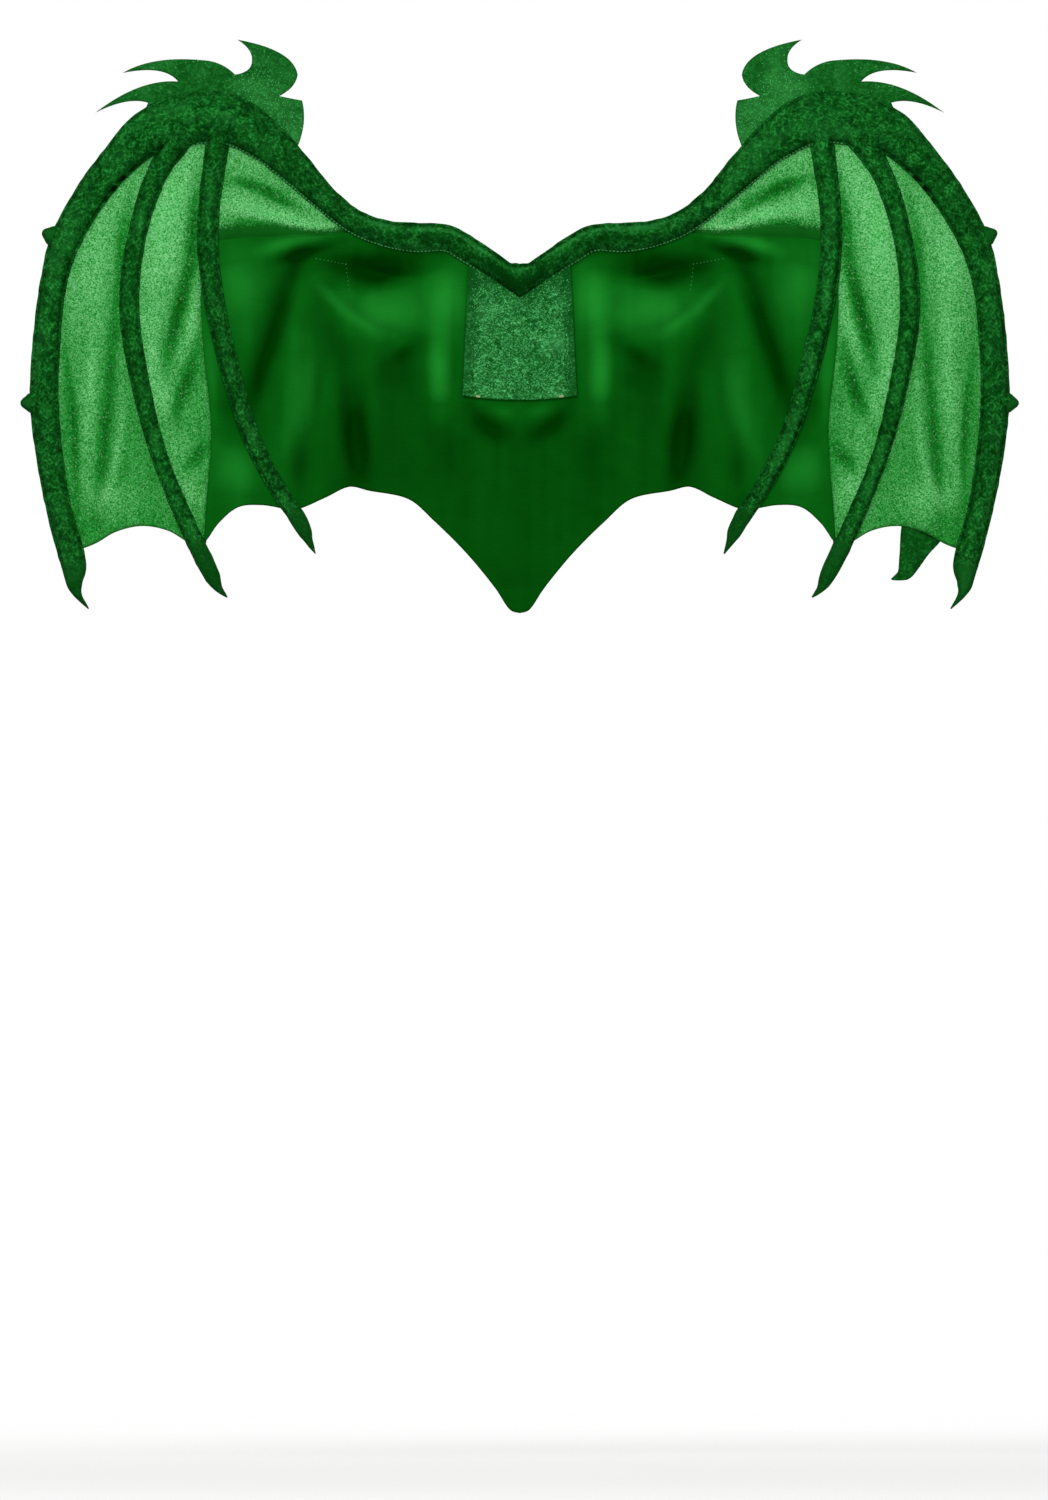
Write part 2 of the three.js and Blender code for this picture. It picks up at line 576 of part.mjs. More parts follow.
// The satin hangs in one piece across the back, so its lines are read on both sides of the middle
const armTop = Array.from({ length: LINE_SAMPLES }, (_, i) => {
  const share = i / (LINE_SAMPLES - 1);
  return armLine(lerp(0, gussetT, share));
});
const middleTop = { x: 0, z: beside(armStations[0], CLOTH_REACH_SHARE).z };
const gussetStep = gussetFoot.x - 2 * satinCorner.x / DRAPE_COLUMNS;
const satinBelowGusset = satinTop
  .filter((point) => point.x > gussetStep)
  .map((point) => shifted(point, 0, -SEAM_GAP / 2));
const drapeTopAt = readLine([
  middleTop,
  ...armTop.filter((point) => point.x > 0 && point.x < gussetStep),
  ...satinBelowGusset,
], 'x', 'z');
const drapeEdge = (z) => seamLine(z) - SEAM_GAP / 2;
const mirroredReach = (u, reach) => (2 * u - 1) * reach;
const drapeSide = (sign) => (v) => {
  const z = lerp(satinFoot.z, satinCorner.z - SEAM_GAP / 2, v);
  return { x: sign * drapeEdge(z), z };
};
const drapePatch = patchBetween({
  inner: drapeSide(-1),
  outer: drapeSide(1),
  bottom: (u) => {
    const x = mirroredReach(u, drapeEdge(satinFoot.z));
    return { x, z: hemAt(Math.abs(x)) };
  },
  top: (u) => {
    const x = mirroredReach(u, drapeEdge(satinCorner.z));
    return { x, z: drapeTopAt(Math.abs(x)) };
  },
});

// The back panel's top follows the lower edges of both arms
const underArms = readLine(
  armStations.slice(0, 8).map((station) => beside(station, -1, SEAT_GAP)), 'x', 'z');
const panelTopHalf = PANEL_TOP / 2;
const panelSeat = -(CLOTH + PANEL_CLOTH) / 2 - SEAT_GAP;
const panelSide = (sign) => (v) => ({
  x: sign * lerp(PANEL_HALF, panelTopHalf, v),
  z: lerp(PANEL_BOW - PANEL_DROP, underArms(panelTopHalf), v),
});
const panelPatch = patchBetween({
  inner: panelSide(-1),
  outer: panelSide(1),
  bottom: (u) => ({ x: mirroredReach(u, PANEL_HALF), z: -PANEL_DROP + PANEL_BOW * (2 * u - 1) ** 2 }),
  top: (u) => {
    const x = mirroredReach(u, panelTopHalf);
    return { x, z: underArms(Math.abs(x)) };
  },
});

function crestOutline() {
  const shape = new THREE.Path();
  const [fromT, toT] = ['crest inner end', 'crest outer end'].map(armMark);
  const start = beside(stationOn(armCurve, fromT), CREST_START_SHARE);
  shape.moveTo(start.x, start.z);
  FLAMES.forEach((flame) => {
    const end = place(flame);
    shape.quadraticCurveTo(flame.viaOut * HALF_SPAN, flame.viaUp * WING_HEIGHT, end.x, end.z);
  });
  const points = shape.getPoints(FLAME_SAMPLES);
  const foot = Array.from({ length: LINE_SAMPLES / 5 }, (_, i) => {
    const { x, z } = beside(stationOn(armCurve, lerp(toT, fromT, i * 5 / LINE_SAMPLES)), CREST_START_SHARE);
    return new THREE.Vector2(x, z);
  });
  return [...points, ...foot];
}

function clawOutline() {
  return LOOSE_CLAW.map((row) => {
    const { x, z } = place(row);
    return new THREE.Vector2(x, z);
  });
}

function patchSolid() {
  const [w, h, r] = [PATCH_WIDTH / 2, PATCH_HEIGHT / 2, PATCH_CORNER];
  const shape = new THREE.Shape();
  shape.moveTo(-w + r, -h).lineTo(w - r, -h).absarc(w - r, -h + r, r, -Math.PI / 2, 0);
  shape.absarc(w - r, h - r, r, 0, Math.PI / 2).absarc(-w + r, h - r, r, Math.PI / 2, Math.PI);
  shape.absarc(-w + r, -h + r, r, Math.PI, 1.5 * Math.PI);
  return new THREE.ExtrudeGeometry(shape, { depth: PATCH_DEPTH, bevelEnabled: false, curveSegments: 4 })
    .rotateX(Math.PI / 2);
}

function mirroredSolid(geometry) {
  const copy = geometry.clone();
  copy.scale(-1, 1, 1);
  return outward(copy);
}

const wings = new THREE.Group();
function add(name, geometry, material) {
  const mesh = new THREE.Mesh(geometry, material);
  mesh.name = name;
  wings.add(mesh);
}
function addPair(name, geometry, material) {
  add(`${name}_right`, geometry, material);
  add(`${name}_left`, mirroredSolid(geometry), material);
}

addPair('arm', ribSolid(armStations), velvet);
addPair('middle_finger', ribSolid(middleStations), velvet);
addPair('inner_finger', ribSolid(innerStations), velvet);
addPair('upper_spur', ribSolid(spurStations('upper spur'), RIB_RISE / 2), velvet);
addPair('lower_spur', ribSolid(spurStations('lower spur'), RIB_RISE / 2), velvet);
addPair('crest', bentPlate(crestOutline(), CREST_FELT, -CLOTH / 2), velvet);
addPair('outer_web', sheetSolid(outerWeb, OUTER_WEB_COLUMNS, WEB_ROWS), shimmer);
addPair('middle_web', sheetSolid(middleWeb, MIDDLE_WEB_COLUMNS, WEB_ROWS), shimmer);
addPair('gusset', sheetSolid(gusset, GUSSET_COLUMNS, GUSSET_ROWS), shimmer);
add('drape', sheetSolid(drapePatch, DRAPE_COLUMNS, DRAPE_ROWS), satin);
add('back_panel', sheetSolid(panelPatch, PANEL_COLUMNS, PANEL_ROWS, PANEL_CLOTH, panelSeat), glitter);
add('loose_claw', bentPlate(clawOutline(), CREST_FELT, CLOTH / 2 + SEAT_GAP), velvet);
add('fastening_patch', patchSolid(), hookTape);

export default wings;
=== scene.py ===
"""Dragon wings worn on the back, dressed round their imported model.

Padded velvet ribs lie on webs of shimmer knit and on a drape of satin. Flame crests of velvet stand
on the wrists, a panel of crushed velvet covers the middle, and a hook patch sits behind it.
Lengths are in metres, seen from behind the wearer: +X to the right, +Z up, -Y towards the viewer.
"""
from __future__ import annotations

import sys

import itertools
import logging
import math
from collections.abc import Callable, Sequence
from dataclasses import dataclass
from enum import Enum
from functools import cached_property
from typing import NamedTuple, TypeVar

import bpy
import numpy as np
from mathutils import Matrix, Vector
from mathutils.geometry import delaunay_2d_cdt


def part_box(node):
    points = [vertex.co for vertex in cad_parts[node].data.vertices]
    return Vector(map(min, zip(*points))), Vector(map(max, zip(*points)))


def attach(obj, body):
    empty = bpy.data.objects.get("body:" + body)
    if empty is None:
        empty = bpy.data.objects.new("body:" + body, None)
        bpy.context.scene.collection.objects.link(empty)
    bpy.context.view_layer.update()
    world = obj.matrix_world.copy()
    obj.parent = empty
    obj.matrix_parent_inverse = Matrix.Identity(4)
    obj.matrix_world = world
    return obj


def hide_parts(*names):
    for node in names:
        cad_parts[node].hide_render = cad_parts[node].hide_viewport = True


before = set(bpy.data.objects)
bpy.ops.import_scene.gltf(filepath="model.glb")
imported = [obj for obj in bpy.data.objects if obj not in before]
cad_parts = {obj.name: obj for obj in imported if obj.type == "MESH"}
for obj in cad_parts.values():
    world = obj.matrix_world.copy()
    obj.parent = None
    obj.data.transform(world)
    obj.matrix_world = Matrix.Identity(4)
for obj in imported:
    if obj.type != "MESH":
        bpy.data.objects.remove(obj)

log = logging.getLogger("dragon_wings")
Array = np.ndarray
Rgba = tuple[float, float, float, float]
Node = bpy.types.Node
Socket = bpy.types.NodeSocket
Sockets = bpy.types.bpy_prop_collection
NodeTree = bpy.types.NodeTree
Material = bpy.types.Material
Piece = bpy.types.Object
Line = Callable[[Array], Array]
Row = TypeVar("Row")
BODY = "root"


class Side(Enum):
    """The two wings. The value is the sign of their X."""

    RIGHT = 1
    LEFT = -1

    @property
    def word(self) -> str:
        """The side's name as the nodes carry it."""
        return self.name.lower()


class Slot(Enum):
    """The material slots."""

    VELVET = "velvet"
    SATIN = "satin"
    SHIMMER = "shimmer"
    GLITTER = "glitter"
    HOOK_TAPE = "hook_tape"


class RibRow(NamedTuple):
    """A row of a rib: shares of the half span, the wing's height and a rib's width."""

    out: float
    up: float
    wide: float
    mark: str = ""


class Spot(NamedTuple):
    """A point in shares of the half span and of the wing's height."""

    out: float
    up: float


class Flame(NamedTuple):
    """A curve of the crest's edge that bends by way of one point."""

    via_out: float
    via_up: float
    out: float
    up: float


class Stroke(NamedTuple):
    """A bent line on the cloth. Wide is a share of a fold's width, and rise of its depth or of its painted
    light and shade.
    """

    name: str
    from_out: float
    from_up: float
    via_out: float
    via_up: float
    to_out: float
    to_up: float
    wide: float
    rise: float


class Crease(NamedTuple):
    """Where a rib's velvet crumples. Along and reach are shares of its length, side is -1 or 1.

    Some creases are gathered up at the inner edge, and painted shadow, near black, fills their gaps.
    """

    along: float
    reach: float
    side: float
    depth: float
    worn: bool = False


def table(kind: type[Row], *rows: tuple[float | str, ...]) -> tuple[Row, ...]:
    """Rows of a table, whose columns are the fields of their kind."""
    return tuple(kind(*row) for row in rows)


ARM = table(
    RibRow,
    (0.000, 0.085, 1.15, "centre"),
    (0.050, 0.112, 0.94),
    (0.103, 0.144, 0.97),
    (0.148, 0.167, 0.97),
    (0.214, 0.169, 1.08),
    (0.273, 0.176, 0.97, "gusset end"),
    (0.336, 0.198, 0.90),
    (0.397, 0.242, 0.94),
    (0.448, 0.290, 1.19),
    (0.476, 0.316, 1.31, "crest inner end"),
    (0.503, 0.340, 1.44),
    (0.569, 0.383, 1.76),
    (0.610, 0.395, 1.84, "inner finger"),
    (0.693, 0.389, 1.87),
    (0.726, 0.379, 1.77, "middle finger"),
    (0.761, 0.363, 1.62, "crest outer end"),
    (0.819, 0.311, 1.30),
    (0.873, 0.247, 1.19, "shoulder"),
    (0.926, 0.159, 1.12, "upper spur"),
    (0.950, 0.080, 0.97),
    (0.964, -0.029, 1.01),
    (0.969, -0.149, 1.04, "lower spur"),
    (0.954, -0.278, 0.97),
    (0.934, -0.373, 0.92),
    (0.916, -0.431, 0.97, "hem"),
    (0.908, -0.463, 0.90),
    (0.907, -0.496, 0.58),
    (0.900, -0.517, 0.31),
    (0.878, -0.544, 0.05),
)
MIDDLE_FINGER = table(
    RibRow,
    (0.708, 0.331, 1.04),
    (0.732, 0.299, 0.79),
    (0.756, 0.247, 0.74),
    (0.776, 0.182, 0.67),
    (0.792, 0.096, 0.70),
    (0.794, 0.010, 0.72),
    (0.773, -0.111, 0.67),
    (0.737, -0.243, 0.60),
    (0.677, -0.383, 0.63, "hem"),
    (0.630, -0.475, 0.61),
    (0.614, -0.504, 0.32),
    (0.596, -0.522, 0.05),
)
INNER_FINGER = table(
    RibRow,
    (0.610, 0.339, 0.90),
    (0.622, 0.304, 0.83),
    (0.632, 0.230, 0.77),
    (0.635, 0.147, 0.77),
    (0.620, 0.034, 0.73),
    (0.590, -0.086, 0.72),
    (0.544, -0.222, 0.64),
    (0.483, -0.329, 0.60, "hem"),
    (0.457, -0.364, 0.61),
    (0.440, -0.393, 0.54),
    (0.430, -0.414, 0.31),
    (0.417, -0.438, 0.05),
)
# A spur's sections: out is a share of its reach, wide of its base
SPUR = table(
    RibRow,
    (-0.40, 0.0, 1.00),
    (0.00, 0.0, 0.96),
    (0.45, 0.0, 0.66),
    (0.80, 0.0, 0.40),
    (0.96, 0.0, 0.22),
    (1.00, 0.0, 0.08),
)

HEM = table(
    Spot,
    (0.000, -0.551),
    (0.018, -0.546),
    (0.051, -0.502),
    (0.106, -0.439),
    (0.174, -0.375),
    (0.226, -0.333),
    (0.306, -0.317),
    (0.347, -0.309),
    (0.397, -0.330),
    (0.448, -0.351),
    (0.469, -0.353),
    (0.526, -0.345),
    (0.574, -0.349),
    (0.614, -0.380),
    (0.644, -0.418),
    (0.661, -0.423),
    (0.716, -0.395),
    (0.769, -0.386),
    (0.822, -0.397),
    (0.866, -0.420),
    (0.916, -0.437),
)
SATIN_SIDE = table(
    Spot,
    (0.635, 0.157),
    (0.649, 0.067),
    (0.645, -0.048),
    (0.629, -0.201),
    (0.639, -0.345),
    (0.644, -0.418),
)
SATIN_TOP = table(
    Spot,
    (0.230, 0.187),
    (0.273, 0.188),
    (0.306, 0.187),
    (0.342, 0.181),
    (0.377, 0.174),
    (0.448, 0.170),
    (0.571, 0.167),
    (0.635, 0.157),
)
FLAMES = table(
    Flame,
    (0.432, 0.385, 0.444, 0.430),
    (0.465, 0.433, 0.490, 0.438),
    (0.457, 0.454, 0.453, 0.479),
    (0.461, 0.527, 0.576, 0.545),
    (0.544, 0.527, 0.546, 0.505),
    (0.546, 0.483, 0.580, 0.478),
    (0.608, 0.504, 0.647, 0.505),
    (0.750, 0.513, 0.809, 0.480),
    (0.724, 0.496, 0.696, 0.464),
    (0.775, 0.469, 0.865, 0.404),
    (0.799, 0.435, 0.757, 0.423),
)
LOOSE_CLAW = table(
    Spot,
    (0.784, -0.370),
    (0.864, -0.398),
    (0.858, -0.414),
    (0.834, -0.439),
    (0.800, -0.482),
    (0.788, -0.489),
    (0.756, -0.488),
    (0.770, -0.473),
    (0.773, -0.445),
)

# The main folds of the cloth. A rise below nought is a valley
FOLDS = table(
    Stroke,
    ("valley under the arm", 0.365, 0.165, 0.497, 0.121, 0.534, -0.128, 1.0, -0.9),
    ("first ridge", 0.412, 0.094, 0.469, 0.010, 0.481, -0.278, 1.05, 0.6),
    ("second valley", 0.387, 0.067, 0.357, -0.048, 0.454, -0.306, 0.9, -0.75),
    ("second ridge", 0.357, 0.048, 0.342, -0.067, 0.387, -0.310, 0.9, 0.6),
    ("third valley", 0.365, -0.010, 0.346, -0.144, 0.330, -0.304, 0.9, -1.1),
    ("third ridge", 0.301, 0.048, 0.285, -0.144, 0.293, -0.326, 1.2, 0.75),
    ("crease from the stitching", 0.418, 0.090, 0.346, -0.010, 0.214, -0.027, 0.7, -0.7),
    ("pocket under the arm", 0.357, 0.120, 0.265, 0.085, 0.171, 0.110, 0.85, -1.0),
    ("column beside the panel", 0.165, 0.090, 0.160, -0.029, 0.171, -0.182, 1.3, 0.9),
    ("hollow beside the column", 0.275, -0.048, 0.244, -0.144, 0.203, -0.239, 1.6, -0.75),
    ("crease below the panel", 0.101, -0.165, 0.040, -0.195, 0.000, -0.230, 1.0, -0.35),
    ("round of the tail", 0.000, -0.260, 0.000, -0.373, 0.000, -0.527, 3.4, 0.7),
    ("outer web", 0.840, 0.069, 0.830, -0.124, 0.880, -0.387, 0.8, -0.55),
    ("outer web at the hem", 0.812, -0.201, 0.830, -0.300, 0.840, -0.380, 0.8, 0.45),
    ("middle web", 0.671, 0.142, 0.710, -0.010, 0.726, -0.086, 0.7, -0.4),
    ("middle web, lower", 0.648, -0.115, 0.673, -0.153, 0.701, -0.201, 0.6, -0.4),
    ("gusset", 0.560, 0.200, 0.500, 0.235, 0.440, 0.210, 0.9, -0.5),
)
# Painted light and shade over the webs' folds: the same strokes raise their cloth a little
WEB_PAINTED_SHADING = table(
    Stroke,
    ("outer web, main valley", 0.812, 0.200, 0.834, -0.175, 0.866, -0.377, 0.40, -0.27),
    ("outer web, ridge by the valley", 0.868, 0.100, 0.872, -0.165, 0.905, -0.350, 0.50, 0.14),
    ("outer web, valley by the arm", 0.926, -0.048, 0.899, -0.199, 0.906, -0.358, 0.32, -0.34),
    ("outer web, ridge by the finger", 0.812, -0.114, 0.802, -0.254, 0.857, -0.354, 0.34, 0.24),
    ("outer web, pale foot", 0.895, -0.300, 0.840, -0.350, 0.770, -0.330, 1.50, 0.26),
    ("outer web, smooth strip", 0.790, 0.268, 0.806, 0.187, 0.812, 0.048, 0.50, -0.26),
    ("outer web, bright top", 0.840, 0.211, 0.889, 0.139, 0.889, 0.010, 1.35, 0.18),
    ("outer web, ridge down the middle", 0.873, -0.010, 0.869, -0.172, 0.881, -0.297, 0.60, 0.12),
    ("outer web, gathered edge", 0.872, 0.205, 0.842, 0.264, 0.757, 0.318, 0.24, -0.60),
    ("middle web, pale top", 0.689, 0.306, 0.735, 0.206, 0.750, 0.010, 1.40, 0.26),
    ("middle web, smooth strip", 0.653, 0.278, 0.669, 0.192, 0.669, 0.105, 0.48, -0.44),
    ("middle web, main valley", 0.668, 0.134, 0.692, 0.038, 0.726, -0.096, 0.50, -0.60),
    ("middle web, ridge beside it", 0.650, 0.086, 0.666, 0.000, 0.689, -0.068, 0.42, 0.26),
    ("middle web, second valley", 0.655, -0.038, 0.676, -0.115, 0.714, -0.192, 0.46, -0.40),
    ("middle web, low crease", 0.636, -0.230, 0.657, -0.248, 0.693, -0.293, 0.46, -0.32),
    ("middle web, pale foot", 0.690, -0.240, 0.686, -0.320, 0.660, -0.380, 1.20, 0.28),
    ("middle web, pale side", 0.758, 0.020, 0.745, -0.124, 0.704, -0.239, 0.80, 0.28),
    ("gusset, first valley", 0.599, 0.278, 0.533, 0.273, 0.438, 0.211, 0.50, -0.50),
    ("gusset, pale ridge", 0.608, 0.236, 0.549, 0.224, 0.397, 0.182, 0.62, 0.36),
    ("gusset, foot", 0.608, 0.190, 0.532, 0.201, 0.448, 0.182, 0.45, -0.34),
    ("gusset, pale corner", 0.448, 0.186, 0.405, 0.181, 0.357, 0.172, 0.38, 0.40),
)
# Painted light and shade over the satin's folds
SATIN_PAINTED_SHADING = table(
    Stroke,
    ("shade under the gusset", 0.622, 0.170, 0.545, 0.186, 0.469, 0.176, 0.55, -0.12),
    ("streak", 0.534, 0.138, 0.477, 0.160, 0.387, 0.170, 0.48, 0.44),
    ("beside the finger", 0.579, 0.121, 0.573, 0.098, 0.559, -0.010, 1.50, 0.36),
    ("dark line under the streak", 0.506, 0.119, 0.466, 0.131, 0.357, 0.163, 0.45, -0.45),
    ("pocket under the arm", 0.448, 0.121, 0.306, 0.103, 0.163, 0.140, 1.28, -0.56),
    ("pocket, lower side", 0.357, 0.086, 0.285, 0.080, 0.214, 0.105, 0.75, -0.30),
    ("box of stitching", 0.418, 0.109, 0.402, 0.092, 0.367, 0.090, 0.60, 0.12),
    ("valley beside the finger", 0.448, 0.140, 0.500, -0.008, 0.567, -0.205, 0.85, -0.56),
    ("second ridge", 0.444, -0.038, 0.434, -0.139, 0.486, -0.295, 1.20, 0.36),
    ("second valley", 0.395, 0.025, 0.365, -0.036, 0.342, -0.144, 1.05, -0.28),
    ("third valley", 0.346, -0.134, 0.330, -0.214, 0.322, -0.320, 0.98, -0.48),
    ("low dark strip", 0.448, -0.220, 0.445, -0.259, 0.455, -0.335, 0.83, -0.24),
    ("edge of the bulge", 0.418, 0.088, 0.398, 0.056, 0.285, -0.025, 0.45, 0.26),
    ("bulge", 0.342, 0.048, 0.287, 0.002, 0.183, 0.048, 1.65, 0.44),
    ("notch", 0.187, -0.025, 0.225, -0.048, 0.275, -0.071, 0.75, -0.30),
    ("hollow", 0.275, -0.048, 0.242, -0.084, 0.234, -0.144, 1.80, -0.24),
    ("column", 0.140, 0.121, 0.148, 0.040, 0.152, -0.010, 1.20, 0.46),
    ("column, lower", 0.166, -0.010, 0.168, -0.101, 0.160, -0.160, 0.90, 0.56),
    ("low right", 0.132, -0.192, 0.142, -0.225, 0.152, -0.316, 1.50, -0.14),
    ("low side", 0.567, -0.220, 0.577, -0.278, 0.579, -0.335, 1.75, 0.42),
    ("strip beside the web", 0.634, 0.040, 0.626, -0.070, 0.622, -0.230, 0.60, 0.34),
    ("low side's shade", 0.608, -0.134, 0.608, -0.163, 0.526, -0.192, 0.90, -0.14),
    ("lit band under the panel", 0.078, -0.152, 0.040, -0.170, 0.000, -0.171, 0.50, 0.24),
    ("sling from the panel's corner", 0.100, -0.150, 0.076, -0.206, 0.000, -0.222, 0.85, -0.34),
)


def smoothstep(value: Array | float, low: float, high: float) -> Array:
    """Rises smoothly from 0 at low to 1 at high."""
    share = np.clip((np.asarray(value, float) - low) / (high - low), 0, 1)
    return share * share * (3 - 2 * share)


def mix(low: Array | float, high: Array | float, share: Array | float) -> Array:
    """Blends two values.

        high: The value at share 1.
        share: How far to go.

    Returns:
        The blended value.
    """
    return low + (high - low) * share


def bumps(points: Array, size: Array | float, seed: int, cells: int = 61) -> Array:
    """Smooth noise from -1 to 1.

    Args:
        points: Places with three coordinates in their last axis.
        size: Distance between bumps, one value or one for each axis.
        seed: Fixes the pattern.
        cells: The pattern repeats after this many bumps.

    Returns:
        The noise at each place.
    """
    table = np.random.default_rng(seed).uniform(-1, 1, (cells, cells, cells))
    scaled = np.asarray(points, float) / size
    base = np.floor(scaled).astype(int)
    local = scaled - base
    eased = local * local * (3 - 2 * local)
    total = np.zeros(scaled.shape[:-1])
    for corner in itertools.product((0, 1), repeat=3):
        i, j, k = np.moveaxis((base + np.array(corner)) % cells, -1, 0)
        share = np.prod(np.where(np.array(corner) == 1, eased, 1 - eased), axis=-1)
        total += share * table[i, j, k]
    return total


def smooth_curve(points: Array, shares: Array) -> Array:
    """Points on a centripetal Catmull-Rom curve.

    Args:
        points: The points that the curve passes through.
        shares: Places on it from 0 to 1, with its points evenly spaced.

    Returns:
        One row of coordinates for each share.
    """
    count = len(points)
    padded = np.vstack([2 * points[0] - points[1], points, 2 * points[-1] - points[-2]])
    place = np.clip(shares, 0, 1) * (count - 1)
    step = np.minimum(place.astype(int), count - 2)
    w = (place - step)[:, None]
    p0, p1, p2, p3 = (padded[step + k] for k in range(4))
    d0, d1, d2 = (
        np.sqrt(np.linalg.norm(b - a, axis=1))[:, None] for a, b in ((p0, p1), (p1, p2), (p2, p3))
    )
    start = ((p1 - p0) / d0 - (p2 - p0) / (d0 + d1) + (p2 - p1) / d1) * d1
    end = ((p2 - p1) / d1 - (p3 - p1) / (d1 + d2) + (p3 - p2) / d2) * d1
    bend = 3 * (p2 - p1) - 2 * start - end
    return p1 + start * w + bend * w**2 + (2 * (p1 - p2) + start + end) * w**3


def nearest_on_line(points: Array, line: Array) -> tuple[Array, Array]:
    """Finds each point's nearest place on a line of straight steps.

    Args:
        points: X and z in the last axis.
        line: Rows of x and z.

    Returns:
        The distances, and the places as steps along the line.
    """
    gap = np.full(points.shape[:-1], np.inf)
    place = np.zeros(points.shape[:-1])
    for index, (start, step) in enumerate(zip(line[:-1], np.diff(line, axis=0))):
        rel = points - start
        share = np.clip(rel @ step / (step @ step), 0, 1)
        distance = np.linalg.norm(rel - share[..., None] * step, axis=-1)
        closer = distance < gap
        gap[closer] = distance[closer]
        place[closer] = index + share[closer]
    return gap, place


def reader(points: Array, by: int) -> Line:
    """Reads a line of points as a function of one of its coordinates.

    Args:
        points: Rows of x and z.
        by: The coordinate that is given, 0 or 1.

    Returns:
        A function that gives the other coordinate.
    """
    given, wanted = points[np.argsort(points[:, by], kind="stable")].T[[by, 1 - by]]
    return lambda value: np.interp(value, given, wanted)


def pairs(x: Array | float, z: Array | float) -> Array:
    """X and z in a new last axis."""
    return np.stack(np.broadcast_arrays(np.asarray(x, float), z), axis=-1)


def xyz(x: Array, y: Array | float, z: Array | float) -> Array:
    """X, y and z in a new last axis."""
    return np.stack(np.broadcast_arrays(np.asarray(x, float), y, z), axis=-1)


def bell(value: Array, width: float) -> Array:
    """Falls softly from 1 at nought on both sides."""
    return np.exp(-((value / width) ** 2))


def curve_points(start: Array, via: Array, end: Array, count: int) -> Array:
    """Even steps along a curve that bends by way of one point.

    Args:
        start: X and z of its start.
        via: The point that it bends towards.
        end: Its end.
        count: How many steps it gets.

    Returns:
        Rows of x and z, with both ends.
    """
    t = np.linspace(0, 1, count + 1)[:, None]
    return start * (1 - t) ** 2 + 2 * via * t * (1 - t) + end * t**2


@dataclass
class RibLine:
    """A rib's middle line in even steps, with its half width and the way across it."""

    centre: Array
    half: Array
    across: Array

    @classmethod
    def through(cls, points: Array, steps: int, mitred: float = 0.0) -> RibLine:
        """Runs a line evenly through rows of x, width and z.

        Args:
            points: The rows.
            steps: How many steps it gets.
            mitred: Length over which its start turns upright.

        Returns:
            The line.
        """
        fine = smooth_curve(points, np.linspace(0, 1, 24 * len(points)))
        run = np.hypot(np.diff(fine[:, 0]), np.diff(fine[:, 2]))
        run = np.concatenate([[0], np.cumsum(run)])
        even = np.linspace(0, run[-1], steps + 1)
        x, width, z = (np.interp(even, run, fine[:, k]) for k in range(3))
        along = np.gradient(pairs(x, z), axis=0)
        along /= np.linalg.norm(along, axis=1)[:, None]
        across = pairs(-along[:, 1], along[:, 0])
        if mitred:
            turned = mix(across, [0, 1], (1 - smoothstep(even, 0, mitred))[:, None])
            across = turned / (turned * across).sum(1)[:, None]
        return cls(pairs(x, z), width / 2, across)

    @property
    def run(self) -> Array:
        """Distance along the line at each station."""
        steps = np.linalg.norm(np.diff(self.centre, axis=0), axis=1)
        return np.concatenate([[0], np.cumsum(steps)])

    def beside(self, side: float, beyond: float = 0.0) -> Array:
        """Points beside the line.

        Args:
            side: Share of the half width, with its sign.
            beyond: Distance past that.

        Returns:
            Rows of x and z.
        """
        reach = self.half * side + beyond * math.copysign(1, side)
        return self.centre + self.across * reach[:, None]

    def at(self, share: Array | float, side: float = 0.0) -> Array:
        """Points at shares of the length.

        Args:
            share: Shares of the line's length.
            side: Where they lie beside it, as a share of the half width.

        Returns:
            X and z of each.
        """
        line = self.beside(side or 1e-9)
        place = self.run / self.run[-1]
        return pairs(np.interp(share, place, line[:, 0]), np.interp(share, place, line[:, 1]))

    def inset(self, points: Array) -> tuple[Array, Array, Array]:
        """Where points lie on the rib.

        Args:
            points: X and z in the last axis.

        Returns:
            Distance inside the edge, half width there, and share of the length.
        """
        gap, place = nearest_on_line(points, self.centre)
        half = np.interp(place, np.arange(len(self.half)), self.half)
        return half - gap, half, place / (len(self.half) - 1)


